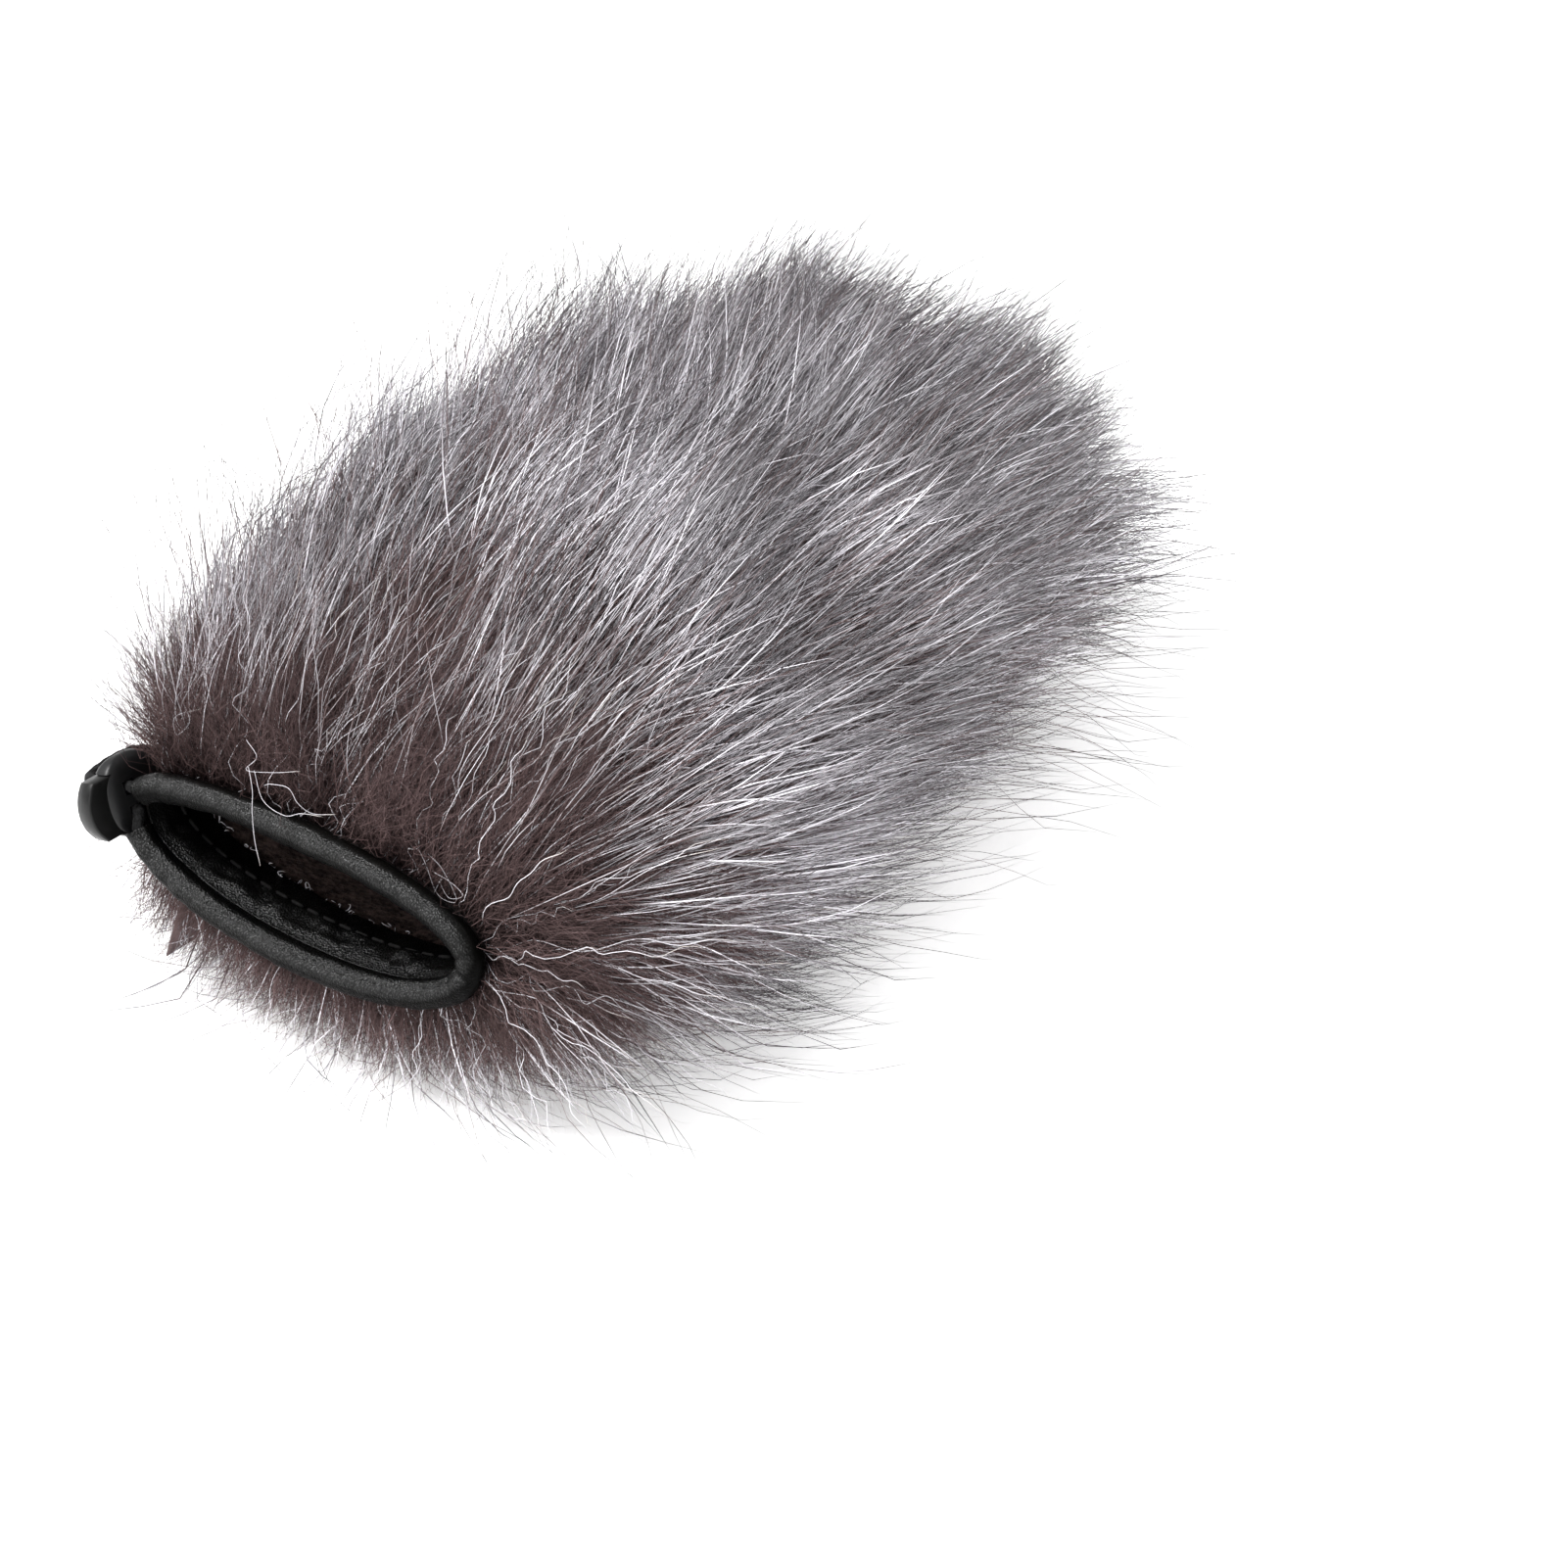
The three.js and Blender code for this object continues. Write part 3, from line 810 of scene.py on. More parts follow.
def barrel():
    """A rounded block with a stepped pocket for the button and the spring, and the cord's bores."""
    rows, sides = 47, 96
    across, up = BARREL_WIDTH / 2, BARREL_HEIGHT / 2
    long = (BARREL_REAR - BARREL_FRONT) / 2
    latitude = np.linspace(-math.pi / 2, math.pi / 2, rows + 2)[1:-1][:, None]
    level, height = superellipse(latitude, 2.4)
    x, y = superellipse(turns(sides), 4.2)
    grid = np.broadcast_arrays(BARREL_CENTRE + long * level * x, across * level * y, up * height)
    points = np.stack(grid, axis=-1).reshape(-1, 3)
    poles = np.array([[BARREL_CENTRE, 0, -up], [BARREL_CENTRE, 0, up]])
    j = np.arange(sides)
    j2 = (j + 1) % sides
    low = np.full(sides, len(points))
    top = (rows - 1) * sides
    caps = [np.stack([j, low, j2], axis=1), np.stack([top + j2, low + 1, top + j], axis=1)]
    faces = [grid_faces(rows, sides, True), *caps]
    obj = body("cord_lock_barrel_shell", np.concatenate([points, poles]), faces)
    pocket_y, pocket_z = PLUNGER_WIDTH / 2 + SLIDE_GAP, PLUNGER_HEIGHT / 2 + SLIDE_GAP
    pocket_end = PLUNGER_REAR + PLUNGER_TRAVEL + SLIDE_GAP
    cut(obj, (BARREL_FRONT - 2, -pocket_y, -pocket_z), (pocket_end, pocket_y, pocket_z))
    cut(obj, (pocket_end - 1, -pocket_y, -pocket_y), (POCKET_END, pocket_y, pocket_y))
    cut_bores(obj, -BORE, BORE)
    finish_lock_piece(obj, lock_black, "cord_lock", "cord_lock_barrel", 40)


barrel()


def plunger():
    """A flat button with a domed front and rounded sides."""
    dome = 6.9
    half = PLUNGER_HEIGHT / 2
    z = np.linspace(-half, half, 25)
    front = PLUNGER_FRONT + dome - np.sqrt(dome**2 - z**2)
    outline = np.array([(PLUNGER_REAR, -half), *zip(front, z), (PLUNGER_REAR, half)])
    middle = np.array([(PLUNGER_FRONT + PLUNGER_REAR) / 2, 0])
    size = np.array([(PLUNGER_REAR - PLUNGER_FRONT) / 2, half])
    rings = []
    for across, inset in ((-1, 0.32), (-0.94, 0.1), (-0.84, 0), (0.84, 0), (0.94, 0.1), (1, 0.32)):
        flat = middle + (outline - middle) * (1 - inset / size)
        rings.append(np.insert(flat, 1, across * PLUNGER_WIDTH / 2, axis=1))
    sides = len(outline)
    faces = [grid_faces(len(rings), sides, True), *flat_ends(sides, 0, (len(rings) - 1) * sides)]
    obj = body("cord_lock_button", np.concatenate(rings), faces)
    cut_bores(obj, -BORE - PLUNGER_TRAVEL, BORE)
    finish_lock_piece(obj, button_black, "plunger", "cord_lock_plunger", 35)


plunger()


def spring():
    """A coil between the button and the pocket's end."""
    coils, wire, radius = 3, 0.22, 1.4
    low, high = PLUNGER_REAR + GAP + wire, POCKET_END - GAP - wire
    t = np.linspace(0, 1, 220)
    angle = TAU * coils * t
    path = np.stack([lerp(low, high, t), radius * np.cos(angle), radius * np.sin(angle)], axis=1)
    obj = tube("cord_lock_spring_coil", from_lock(path), wire, 12)
    finish_piece(obj, steel, "cord_lock", "spring_steel", "cord_lock_spring")
    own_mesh(obj)


spring()

# ---- pile: where strands stand and how they grow

BACK = np.array([1.0, 0, 0])


def surface_frame(s, angle):
    """Points of the backing with their outward normals."""
    h = 0.05
    here = cover_point(s, angle, 0)
    back = np.minimum(s, COVER_LENGTH - 0.2)
    along = cover_point(back + h, angle, 0) - cover_point(back - h, angle, 0)
    across = cover_point(back, angle + 0.002, 0) - cover_point(back, angle - 0.002, 0)
    normal = unit(np.cross(along, across))
    outside = np.sum(normal * (here - (0, 0, SEAM_Z)) * (0.02, 1, 1), axis=1)
    normal *= np.where(outside < 0, -1, 1)[:, None]
    normal[s > COVER_LENGTH - 0.6] = BACK
    return here, normal


def sample_roots(rng, count, weight, start):
    """Random places on the backing, spread evenly by area times weight(s, angle)."""
    edge_s = stations(261, start, COVER_LENGTH - 0.1)
    edge_a = np.linspace(0, TAU, 241)
    grid = cover_point(edge_s[:, None], edge_a, 0)
    one = grid[1:, 1:] - grid[:-1, :-1]
    two = grid[1:, :-1] - grid[:-1, 1:]
    area = np.linalg.norm(np.cross(one, two), axis=-1) / 2
    area *= weight((edge_s[1:] + edge_s[:-1])[:, None] / 2, (edge_a[1:] + edge_a[:-1]) / 2)
    cell = rng.choice(area.size, size=count, p=(area / area.sum()).ravel())
    i, j = np.unravel_index(cell, area.shape)
    s = lerp(edge_s[i], edge_s[i + 1], rng.random(count))
    angle = lerp(edge_a[j], edge_a[j + 1], rng.random(count))
    return s, angle


# Lean from the normal in degrees, at the root and at the tip, for each distance behind the mouth.
LEAN_AT = (0, 8, 20, 40, 60, 90, 120, 150)
TOP_LEAN = (20, 42, 56, 53, 40, 41, 50, 58), (46, 72, 82, 83, 74, 77, 83, 88)
SIDE_LEAN = (0, 10, 20, 34, 64, 80, 84, 82), (12, 28, 46, 64, 90, 107, 106, 104)
BELOW_LEAN = (-16, 4, 18, 34, 66, 80, 84, 82), (-42, 10, 42, 64, 92, 106, 106, 104)


def lean_angles(s, angle):
    """Lean from the normal at the root and at the tip, in radians."""
    up = np.sin(angle)
    both = []
    for tables in zip(TOP_LEAN, SIDE_LEAN, BELOW_LEAN):
        top, side, below = (np.interp(s, LEAN_AT, table) for table in tables)
        both.append(np.radians(lerp(side, np.where(up > 0, top, below), np.abs(up) ** 0.6)))
    return both


def coverage(s, angle):
    """Less pile where the cover lies on the floor."""
    below = smooth((-np.sin(angle) - 0.15) / 0.6)
    return 1 - lerp(0.55, 0.75, smooth(s / 45)) * below


def underside(s, angle):
    """1 low on the rear half, where the hair is pressed short and flat."""
    return smooth((-np.sin(angle) + 0.05) / 0.6) * smooth((s - 30) / 40)


def in_lock_axes(points):
    local = rolled(points - LOCK_AT, -LOCK_ROLL)
    return local[..., 0], local[..., 1], local[..., 2]


def near_lock(points):
    """True beside the cord lock or its loop, where no strand may stand."""
    x, y, z = in_lock_axes(points)
    by_barrel = (np.abs(x) < 10.5) & (y > -8) & (np.abs(z) < 8.6)
    by_loop = (x > 0) & (x < 16.5) & (y > 6) & (y < 14) & (np.abs(z) < 6.5)
    return by_barrel | by_loop


def crosses_lock(path):
    """True for a strand that would run through the cord lock, anywhere in its travel, or the loop."""
    gap = 0.4
    parts = [lerp(path[:, :-1], path[:, 1:], t) for t in (0, 0.25, 0.5, 0.75)]
    fine = np.concatenate([*parts, path[:, -1:]], axis=1)
    x, y, z = in_lock_axes(fine)
    beside = (y > -BARREL_WIDTH / 2 - gap) & (y < BARREL_WIDTH / 2 + LOCK_TRAVEL + gap)
    long, tall = (BARREL_REAR - BARREL_FRONT) / 2 + gap, BARREL_HEIGHT / 2 + gap
    in_barrel = np.abs((x - BARREL_CENTRE) / long) ** 2.4 + np.abs(z / tall) ** 2.4 < 1
    in_button = (x > PLUNGER_FRONT - gap) & (x < 0) & (np.abs(z) < PLUNGER_HEIGHT / 2 + gap)
    hit = np.any(beside & (in_barrel | in_button), axis=1)
    by_loop = (np.abs(x - 8) < 10) & (y > 2) & (y < 12) & (np.abs(z + 2.4) < 7)
    close = np.flatnonzero(np.any(by_loop, axis=1))
    away = np.linalg.norm(fine[close][:, :, None] - loop_path[::6], axis=-1).min(axis=(1, 2))
    hit[close] |= away < CORD_RADIUS + 0.35
    return hit


def rooted(rng, count, weight, start):
    """Places, root points, normals and leans for strands of one kind, clear of the cord lock."""
    s, angle = sample_roots(rng, count, weight, start)
    root, normal = surface_frame(s, angle)
    keep = ~near_lock(root + normal * 1.5)
    s, angle = s[keep], angle[keep]
    return s, angle, root[keep], normal[keep], *lean_angles(s, angle)


def grow(root, normal, root_lean, tip_lean, length, sway, droop, floor_gap, nodes, bend=0):
    """Strands that leave the backing near its normal, bend back along the cover and lie on the floor."""
    step = (length / (nodes - 1))[:, None]
    across = np.sign(root[:, 1]) + 0.001
    away = np.stack([np.full(len(root), 0.35), across, np.zeros(len(root))], axis=1)
    path = [root]
    for j in range(1, nodes):
        u = (j - 0.5) / (nodes - 1)
        p = path[-1]
        lean = root_lean + (tip_lean - root_lean) * u**0.8
        way = normal * np.cos(lean)[:, None] + BACK * np.sin(lean)[:, None]
        way += sway * (0.35 + 0.65 * u) + bend * (2 * u - 1)
        way[:, 2] -= droop * u
        move = unit(way) * step
        moved = p + move
        low = np.minimum(p[:, 2], floor_gap)
        hit = moved[:, 2] < low
        moved[:, 2] = np.maximum(moved[:, 2], low)
        level = unit(move * (1, 1, 0) + 0.03 * step * away)
        reach = np.sqrt(np.maximum(step[:, 0] ** 2 - (moved[:, 2] - p[:, 2]) ** 2, 0))
        moved[hit, :2] = (p + level * reach[:, None])[hit, :2]
        path.append(moved)
    return np.stack(path, axis=1)


def nearest(points, targets):
    """The index of the target nearest to each point."""
    tree = KDTree(len(targets))
    for i, target in enumerate(targets):
        tree.insert(target, i)
    tree.balance()
    return np.array([tree.find(p)[1] for p in points])


# ---- pile: strands as meshes

SHADES = 48
SLIM_TIP = [0.95, 0.85, 0.7, 0.45, 0]
GUARD_LENGTH = 47
GUARD_HAIRS = 56000
GUIDES = 3200
MAX_TRIANGLES = 196000
TIP_X = 101
TIP_SOFT = 12
FLOOR_GAP = 0.2
cad_box = np.array([cad_low, cad_high])
slack = 0.03 * (cad_box[1] - cad_box[0]) + 0.010
room_low = (cad_box[0] - slack) / MM + 0.5
room_high = (cad_box[1] + slack) / MM - 0.5


def strand_mesh(name, path, radius, profile, shade, material):
    """One closed three-sided tube for each strand, ending in a point; u holds its shade."""
    count, nodes = path.shape[:2]
    along = unit(np.gradient(path, axis=1))
    overall = unit(path[:, -1] - path[:, 0])
    helper = np.where(np.abs(overall[:, :1]) > 0.8, (0.0, 1, 0), (1.0, 0, 0))
    first = unit(np.cross(overall, helper))[:, None]
    e1 = unit(without(first, along))
    e2 = np.cross(along, e1)
    rings = nodes - 1
    wide = (radius[:, None] * profile[:rings])[..., None]
    per = rings * 3 + 1
    points = np.empty((count, per, 3))
    for m in range(3):
        c, d = math.cos(TAU * m / 3), math.sin(TAU * m / 3)
        points[:, m : rings * 3 : 3] = path[:, :rings] + wide * (c * e1 + d * e2)[:, :rings]
    points[:, -1] = path[:, -1]
    sides = np.array([[m, (m + 1) % 3, 3 + (m + 1) % 3, 3 + m] for m in range(3)])
    quads = (3 * np.arange(rings - 1)[:, None, None] + sides).reshape(-1, 4)
    last = per - 4
    tris = np.array([[0, 2, 1], *([last + m, last + (m + 1) % 3, per - 1] for m in range(3))])
    base = per * np.arange(count)[:, None, None]
    faces = [(base + quads).reshape(-1, 4), (base + tris).reshape(-1, 3)]
    column = np.floor(np.clip(shade, 0, 0.9999) * SHADES)
    offsets = np.concatenate([np.tile([0.15, 0.5, 0.85], rings), [0.5]])
    u = (column[:, None] + offsets) / SHADES
    run = np.concatenate([np.repeat(np.arange(rings) / rings, 3), [1.0]])
    v = np.broadcast_to(0.01 + 0.98 * run, u.shape)
    uv = np.stack([u, v], axis=-1).reshape(-1, 2)
    obj = mesh_object(name, points.reshape(-1, 3), faces, uv, "OFBake")
    finish_piece(obj, material, "cover", "fur")


def strand_pieces(name, path, radius, profile, shade, material):
    """The strands that fit, in as many pieces as keep each below the triangle limit."""
    path[:, 1:, 2] = np.maximum(path[:, 1:, 2], FLOOR_GAP)
    pressed = TIP_X + TIP_SOFT * np.tanh((path[..., 0] - TIP_X) / TIP_SOFT)
    path[..., 0] = np.where(path[..., 0] > TIP_X, pressed, path[..., 0])
    inside = np.all((path > room_low) & (path < room_high), axis=(1, 2)) & np.all(path[..., 2] > 0, axis=1)
    inside &= ~crosses_lock(path)
    path, radius, shade = path[inside], radius[inside], shade[inside]
    triangles = len(path) * (6 * (path.shape[1] - 2) + 4)
    order = np.argsort(path[:, 0, 0], kind="stable")
    for i, chunk in enumerate(np.array_split(order, math.ceil(triangles / MAX_TRIANGLES))):
        strand_mesh(f"{name}_{i + 1:02d}", path[chunk], radius[chunk], profile, shade[chunk], material)


# ---- pile: materials

BROWN = (110, 91, 90)
WOOL_DARK = (70, 55, 54)
WOOL_LIGHT = (116, 99, 99)
SILVER = (232, 229, 235)
ASH = (112, 106, 110)
CHARCOAL = (46, 43, 46)
CREAM = (214, 205, 198)

guard_material = strand_material(
    "guard_hair", 0.5, 0.35, 0.66, 0.14, 0.2,
    (0, WOOL_DARK), (0.28, BROWN), (0.42, SILVER), (0.6, SILVER), (0.8, ASH), (1, CHARCOAL),
)
wool_material = strand_material(
    "underfur_wool", 0.7, 0.15, 0.4, 0.1, 0.12,
    (0, WOOL_DARK), (0.6, BROWN), (1, WOOL_LIGHT),
)
mouth_wool_material = strand_material(
    "mouth_wool", 0.7, 0.12, 0.45, 0.1, 0.12,
    (0, (54, 42, 41)), (0.5, (88, 71, 70)), (1, (104, 87, 87)),
)
stray_material = strand_material(
    "stray_hair", 0.5, 0.35, 0.25, 0.05, 0.12,
    (0, BROWN), (0.3, SILVER), (0.55, BROWN), (0.8, CHARCOAL),
)
crimp_material = strand_material(
    "crimped_hair", 0.45, 0.5, 0.12, 0.02, 0.12,
    (0, SILVER), (0.8, SILVER), (1, CREAM),
)


def core_material():
    shader = Shader("pile_core", 0.95, 0.1)
    wool = shader.noise(900, 6, 0.7, shader.add("Mapping", shader.place, Scale=(0.35, 1, 1)))
    tone = shader.ramp(wool, (0.3, (62, 50, 49)), (0.55, (96, 79, 77)), (0.8, (122, 104, 101)))
    # Painted shade: the core is darkened close behind the roll, where the roll and the fur shade it.
    shader.tint(tone, shader.painted_shade_behind_roll(-0.093, -0.07))
    shader.bump(wool, 1.0, 0.0012)
    return shader.material


core_wool = core_material()

# ---- pile: its core and its kinds of hair


def pile_core(name, upper, replaced):
    """The dense root of the pile, a lumpy shell on the backing."""
    start, end = 4.2, COVER_LENGTH - 0.5
    angles = half_angles(upper, 0.01, 160)
    s = stations(220, start, end)[:, None]
    inner = cover_point(s, angles, 0.3)
    low = bell(np.cos(angles), 1, 0.35) * bell(s, 0, 20)
    depth = 0.38 * pile_depth(s, angles) * (1 - 0.92 * low) * smooth((s - 3) / 9)
    lump = 1 + 0.16 * Ripple(61, 9)(inner) + 0.07 * Ripple(62, 3)(inner)
    cap = lerp(8, 4.5, np.cos(angles) ** 2 * smooth((s - 30) / 40))
    outer_s = stations(220, start, end + 8)[:, None]
    outer = cover_point(outer_s, angles, np.minimum(depth * lump, cap) + 0.45)
    outer[..., 2] = np.maximum(outer[..., 2], 1.2)
    hold_to_half(outer, upper)
    hold_to_half(inner, upper)
    finish_piece(shell(name, outer, inner), core_wool, "cover", "fur", replaced)


pile_core("pile_core_upper", True, "pile_upper")
pile_core("pile_core_lower", False, "pile_lower")


def guard_weight(s, angle):
    crest = bell(s, 28, 18) * smooth((np.cos(angle) + 0.3) / 0.6) * smooth(np.sin(angle) / 0.4)
    return coverage(s, angle) * (0.2 + 0.8 * smooth((s - 3) / 20)) * (1 + crest)


def guard_hair():
    """The long hairs. Each is drawn toward the guide strand next to it, so they stand in tufts."""
    rng = np.random.default_rng(7)
    nodes, droop = 7, 0.16
    guide_s, guide_a = sample_roots(rng, GUIDES, coverage, 3.0)
    guides = len(guide_s)
    guide_root, guide_normal = surface_frame(guide_s, guide_a)
    wobble = Ripple(71, 32)(guide_root)
    guide_sway = 0.17 * ripple_vector(81, 26, guide_root) + 0.12 * rng.normal(size=(guides, 3))
    guide_sway += 0.15 * smooth(guide_s / 40)[:, None] * ripple_vector(84, 12, guide_root)
    guide_lean = np.radians(4 * wobble + rng.normal(0, 6, guides))
    guide_length = GUARD_LENGTH * (1 + 0.05 * Ripple(72, 20)(guide_root) + 0.07 * rng.normal(size=guides))
    guide_length *= lerp(0.7, 1, smooth(guide_s / 40)) * (1 - 0.42 * underside(guide_s, guide_a))
    guide_length *= 1 + 0.2 * smooth((guide_s - 105) / 35)
    guide_floor = rng.uniform(0.5, 5, guides)
    leans = [lean + guide_lean for lean in lean_angles(guide_s, guide_a)]
    guide_path = grow(guide_root, guide_normal, *leans, guide_length, guide_sway, droop, guide_floor, nodes)

    s, angle, root, normal, root_lean, tip_lean = rooted(rng, GUARD_HAIRS, guard_weight, 3.4)
    count = len(s)
    group = nearest(root, guide_root)
    lean = guide_lean[group] * 0.8 + np.radians(rng.normal(0, 6, count))
    sway = guide_sway[group] * 0.8 + 0.17 * rng.normal(size=(count, 3))
    length = guide_length[group] * (1.15 - 0.55 * rng.random(count) ** 1.5)
    length *= lerp(1, rng.uniform(0.4, 1.15, count), smooth((0.1 - np.sin(angle)) / 0.5))
    floor_gap = rng.uniform(0.25, 6.5, count)
    bend = 0.2 * rng.normal(size=(count, 3))
    path = grow(root, normal, root_lean + lean, tip_lean + lean, length, sway, droop, floor_gap, nodes, bend)
    u = np.linspace(0, 1, nodes)[:, None]
    pull = rng.beta(1.5, 1.7, count)[:, None, None] * 0.95
    path = path + pull * u**1.4 * (guide_path[group] - path)
    radius = 0.06 + 0.075 * rng.random(count) ** 1.6
    profile = np.array([0.75, 0.95, 1.0, 1.0, 0.85, 0.55, 0.0])

    # Near the mouth the hairs are lighter on the cord lock's side, and darker low on the other.
    lock_shade = 0.24 * rng.normal(size=guides) + 0.05 * wobble
    near_front = bell(guide_s, 28, 24)
    y, z = guide_root[:, 1], guide_root[:, 2]
    lock_shade -= 0.3 * near_front * smooth((y + 4) / 24)
    lock_shade += 0.3 * near_front * smooth((-y - 8) / 20) * smooth((32 - z) / 12)
    spread = 0.22 + 0.16 * near_front[group]
    shade = np.clip(0.46 + lock_shade[group] + spread * rng.normal(size=count), 0, 1)
    strand_pieces("guard_hair", path, radius, profile, shade, guard_material)


def underfur(name, material, seed, count, nodes, weight, crinkle, thickness):
    """Short fine wool, more ruffled near the mouth."""
    rng = np.random.default_rng(seed)
    s, angle, root, normal, root_lean, tip_lean = rooted(rng, count, weight, 3.1)
    count = len(s)
    front = 1 - smooth(s / 30)
    noise = np.radians(rng.normal(0, 1, count) * lerp(9, 18, front) + 6 * Ripple(73, 9)(root))
    root_lean = root_lean * lerp(1, 0.8, front) + noise
    tip_lean = tip_lean * lerp(0.9, 0.85, front) + noise
    sway = 0.16 * ripple_vector(91, 9, root) + lerp(0.2, 0.3, front)[:, None] * rng.normal(size=(count, 3))
    length = lerp(25, 23, front) * rng.normal(1, 0.16, count).clip(0.4, 1.5)
    length *= lerp(0.55, 1, smooth((s - 1) / 9)) * (1 - 0.08 * smooth((-np.sin(angle) - 0.1) / 0.6))
    bend = 0.3 * rng.normal(size=(count, 3))
    floor_gap = rng.uniform(0.25, 4, count)
    path = grow(root, normal, root_lean, tip_lean, length, sway, 0.1, floor_gap, nodes, bend)
    path[:, 1:] += crinkle * rng.normal(size=(count, nodes - 1, 3))
    radius = thickness * rng.uniform(0.75, 1.25, count)
    profile = np.interp(np.linspace(0, 1, nodes), (0, 0.4, 0.7, 1), (0.9, 1, 0.8, 0))
    shade = np.clip(0.5 + 0.22 * rng.normal(size=count), 0, 1)
    strand_pieces(name, path, radius, profile, shade, material)


def mouth_wool_weight(s, angle):
    return coverage(s, angle) * (1 - smooth((s - 13) / 24))


def body_wool_weight(s, angle):
    return coverage(s, angle) * (0.15 + 0.85 * smooth((s - 10) / 26))


def loose_hair(rng, nodes, roots, lean, tip_share, drift, scatter, length):
    """Hairs that follow no guide. roots is a count, weight and start; lean is a mean and a spread."""
    s, _, root, normal, root_lean, tip_lean = rooted(rng, *roots)
    noise = np.radians(rng.normal(*lean, len(s)))
    sway = drift * ripple_vector(81, 26, root) + scatter * rng.normal(size=root.shape)
    length = rng.uniform(*length, len(s))
    floor_gap = rng.uniform(0.4, 9, len(s))
    tip_lean = tip_lean * tip_share + noise
    return grow(root, normal, root_lean + noise, tip_lean, length, sway, 0.1, floor_gap, nodes)


def stray_hair():
    """Long single hairs that stand out past the rest."""
    rng = np.random.default_rng(27)
    nodes = 9
    path = loose_hair(rng, nodes, roots=(3200, coverage, 4.0), lean=(-13, 13), tip_share=0.9,
                      drift=0.17, scatter=0.28, length=(48, 61))
    count = len(path)
    path[:, 2:] += np.cumsum(0.35 * rng.normal(size=(count, nodes - 2, 3)), axis=1)
    radius = rng.uniform(0.05, 0.07, count)
    profile = np.array([0.9, 1, 1, 1, *SLIM_TIP])
    strand_pieces("stray_hair", path, radius, profile, rng.random(count), stray_material)


def crimped_weight(s, angle):
    return coverage(s, angle) * bell(s, 0, 19)


def crimped_hair():
    """Light, wavy hairs near the mouth."""
    rng = np.random.default_rng(37)
    nodes = 24
    path = loose_hair(rng, nodes, roots=(1000, crimped_weight, 3.0), lean=(4, 10), tip_share=1,
                      drift=0, scatter=0.2, length=(16, 42))
    count = len(path)
    u = np.linspace(0, 1, nodes)[:, None]
    kink = np.sin(TAU * rng.uniform(1, 5.5, (count, 1, 3)) * u + rng.uniform(0, TAU, (count, 1, 3)))
    kink *= rng.uniform(0.2, 1.3, (count, 1, 1))
    path += (kink - kink[:, :1]) * (1 - 0.5 * u)
    radius = rng.uniform(0.055, 0.08, count)
    profile = np.concatenate([np.full(nodes - 5, 1.0), SLIM_TIP])
    strand_pieces("crimped_hair", path, radius, profile, rng.random(count), crimp_material)


CURLS = [
    [(-93, 11.3, 50.2), (-94, 8.3, 48.7), (-95, 9.8, 46.5), (-94, 5.3, 47.2), (-93, 0, 49)],
    [(-97, 7, 49), (-99, 4.4, 46.8), (-99, 4.8, 43), (-99.3, 4.4, 38), (-99, 4, 33.6), (-98.7, 4.5, 33.2)],
    [(-95, 8, 47), (-97.5, 3.7, 44.4), (-97.5, -0.6, 43.6), (-97.5, -4.2, 45.4), (-96.5, -7.7, 45.7)],
    [(-96, 5, 46), (-98, 1.1, 48.7), (-98, -2.4, 49.3), (-98, -4, 47.4),
     (-97, -5.6, 45.8), (-96, -10, 46.8)],
    [(-91, -24, 40), (-92, -29, 40.3), (-92.5, -31.3, 39.6), (-92, -28, 37.5),
     (-91, -25.5, 38.6), (-92, -27, 41)],
    [(-90, -22, 42), (-92, -27, 42), (-92.5, -30, 38), (-92, -26, 37), (-91.5, -23, 41.5), (-90, -19, 44)],
    [(-88, 30, 47), (-90, 27, 46), (-91, 29, 43.5), (-89.5, 31, 45), (-88, 26, 48)],
    [(-92.5, 27, 16), (-95.5, 28, 12.5), (-99.5, 29.5, 8)],
    [(-94, 26, 15), (-96.5, 25, 11.5), (-97.8, 25, 9.4), (-97, 23.8, 8.9),
     (-96, 22.8, 10.8), (-95, 22.5, 13)],
]


def curled_hair():
    """Loose white hairs over the upper rim; one hangs into the mouth and two lie by the tab."""
    nodes = 44
    path = np.stack([spline(points, nodes) for points in CURLS])
    count = len(path)
    profile = np.concatenate([np.full(nodes - 4, 1.0), [0.9, 0.75, 0.5, 0]])
    strand_pieces("curled_hair", path, np.full(count, 0.045), profile, np.full(count, 0.6), crimp_material)


def fabric_tab():
    """A small tab of cloth from the seam, hanging in the hair below the mouth."""
    rows, columns, width, length = 15, 11, 10, 10.5
    down = np.linspace(0, 1, rows)[:, None, None]
    wide = np.linspace(-0.5, 0.5, columns)[None, :, None]
    hang = unit(np.array([-0.35, 0.05, -0.94]))
    side = unit(np.array([0.85, -0.35, 0.4]))
    out = np.cross(side, hang)
    curl = 0.5 * np.sin(3 * down + 2 * wide) + 1.4 * wide**2
    middle = np.array([-90.5, 25.5, 17.5]) + length * down * hang + width * wide * side + curl * out
    tab = shell("seam_tab", middle + 0.17 * out, middle - 0.17 * out)
    shader = Shader("tab_cloth", 0.85, 0.1)
    shader.bump(shader.cells(3200), 0.6, 0.0002)
    shader.mottle(500, 4, 0.6, (0.35, (78, 68, 68)), (0.7, (124, 113, 113)))
    finish_piece(tab, shader.material, "cover", "knit")


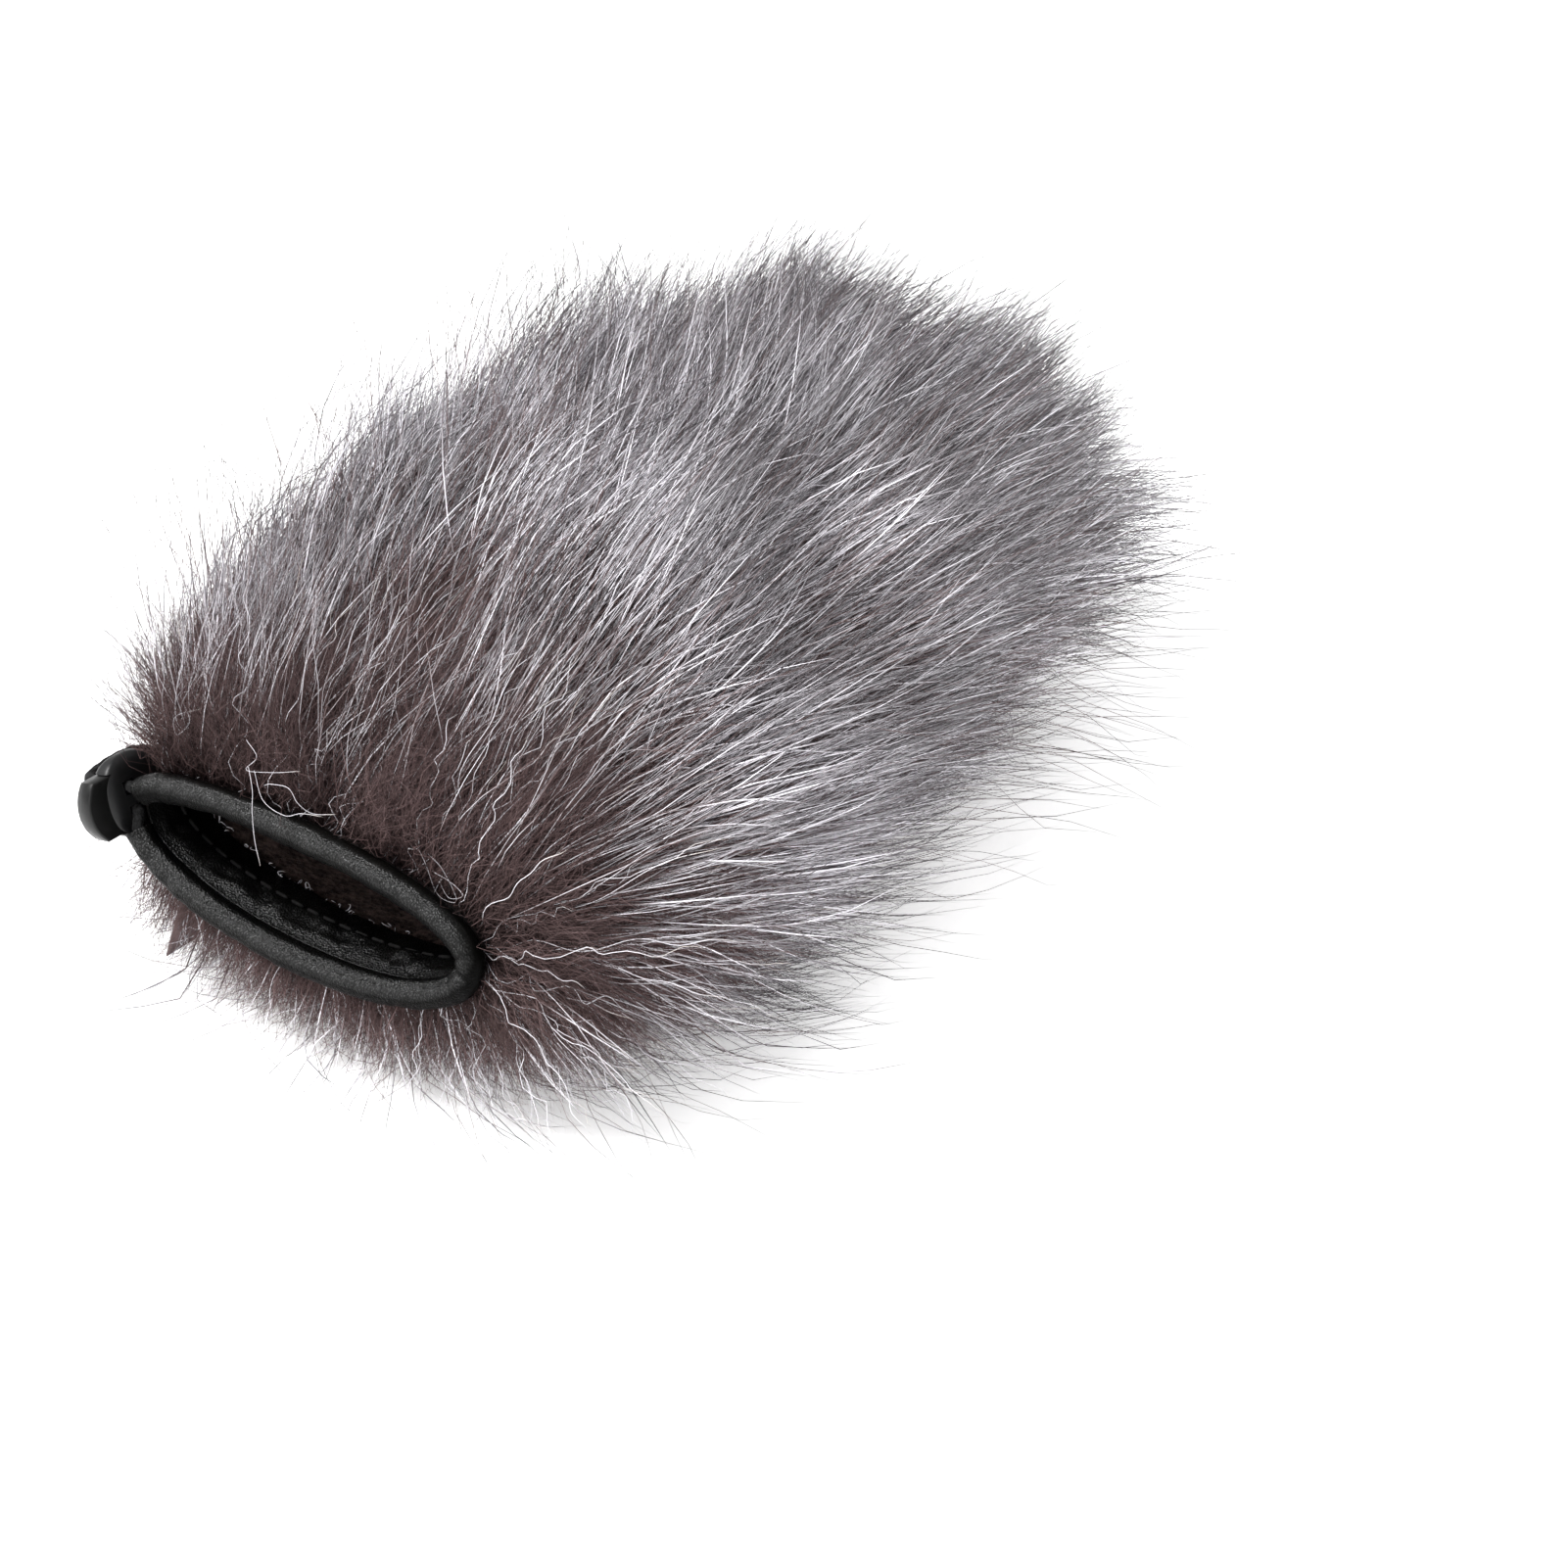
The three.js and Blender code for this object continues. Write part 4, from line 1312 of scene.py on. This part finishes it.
def lint():
    """Bits of light fibre caught inside the mouth, along the facing's stitches and on the knit."""
    rng = np.random.default_rng(47)
    count, nodes = 64, 10
    seam = np.arange(count) < 34
    s = np.where(seam, rng.uniform(11.6, 13.5, count), rng.uniform(13, 34, count))
    angle = rng.uniform(math.pi * 1.08, math.pi * 1.9, count)
    middle = cover_point(s, angle, -KNIT - 1.0)
    size = rng.uniform(0.35, 1.5, count)[:, None, None]
    u = np.linspace(0, 1, nodes)
    turn = rng.uniform(0, TAU, (count, 3))[:, None] + u[:, None] * rng.uniform(2, 7, (count, 1, 3))
    path = middle[:, None] + size * 0.55 * np.sin(turn)
    profile = np.interp(u, (0, 0.15, 0.8, 1), (0.4, 1, 1, 0))
    radius = rng.uniform(0.06, 0.12, count)
    strand_pieces("lint", path, radius, profile, rng.random(count), crimp_material)


curled_hair()
fabric_tab()
lint()
underfur("mouth_wool", mouth_wool_material, seed=17, count=46000, nodes=7,
         weight=mouth_wool_weight, crinkle=1.0, thickness=0.045)
underfur("underfur", wool_material, seed=18, count=54000, nodes=4,
         weight=body_wool_weight, crinkle=0.6, thickness=0.07)
guard_hair()
stray_hair()
crimped_hair()

# ---- floor and light


def floor():
    mesh = bpy.data.meshes.new("floor")
    mesh.from_pydata([(-4, -4, 0), (4, -4, 0), (4, 4, 0), (-4, 4, 0)], [], [(0, 1, 2, 3)])
    obj = put("floor", mesh)
    shader = Shader("white_floor", 0.9, 0.1)
    shader.mottle(2, 2, 0.5, (0, [248.1528] * 3), (1, [250.4628] * 3))
    shader.set(Emission_Color=(1, 1, 1, 1), Emission_Strength=0.38)
    obj.data.materials.append(shader.material)


floor()


def area_light(name, at, size, power):
    data = bpy.data.lights.new(name, "AREA")
    data.shape = "DISK"
    data.size = size
    data.energy = power
    obj = put(name, data)
    obj.location = at
    obj.rotation_mode = "QUATERNION"
    obj.rotation_quaternion = (Vector((0, 0, 0.03)) - Vector(at)).to_track_quat("-Z", "Y")


area_light("key_light", (-0.65, 0.8, 1.2), 0.5, 31)
area_light("fill_light", (-1.3, -0.2, 0.7), 0.9, 7)
area_light("rear_light", (0.9, -0.5, 1.2), 1.0, 10)


def studio_world():
    """White round the horizon like a studio's sweep, greyer overhead."""
    world = bpy.data.worlds.new("studio")
    world.use_nodes = True
    tree = world.node_tree
    place = tree.nodes.new("ShaderNodeTexCoord")
    split = tree.nodes.new("ShaderNodeSeparateXYZ")
    ramp = tree.nodes.new("ShaderNodeValToRGB")
    tree.links.new(place.outputs["Generated"], split.inputs[0])
    tree.links.new(split.outputs[2], ramp.inputs[0])
    for element, (at, grey) in zip(ramp.color_ramp.elements, ((0.18, 1.0), (0.45, 0.5))):
        element.position = at
        element.color = (grey, grey, grey, 1)
    tree.links.new(ramp.outputs[0], tree.nodes["Background"].inputs[0])
    bpy.context.scene.world = world


studio_world()
bpy.context.scene.view_settings.view_transform = "Standard"
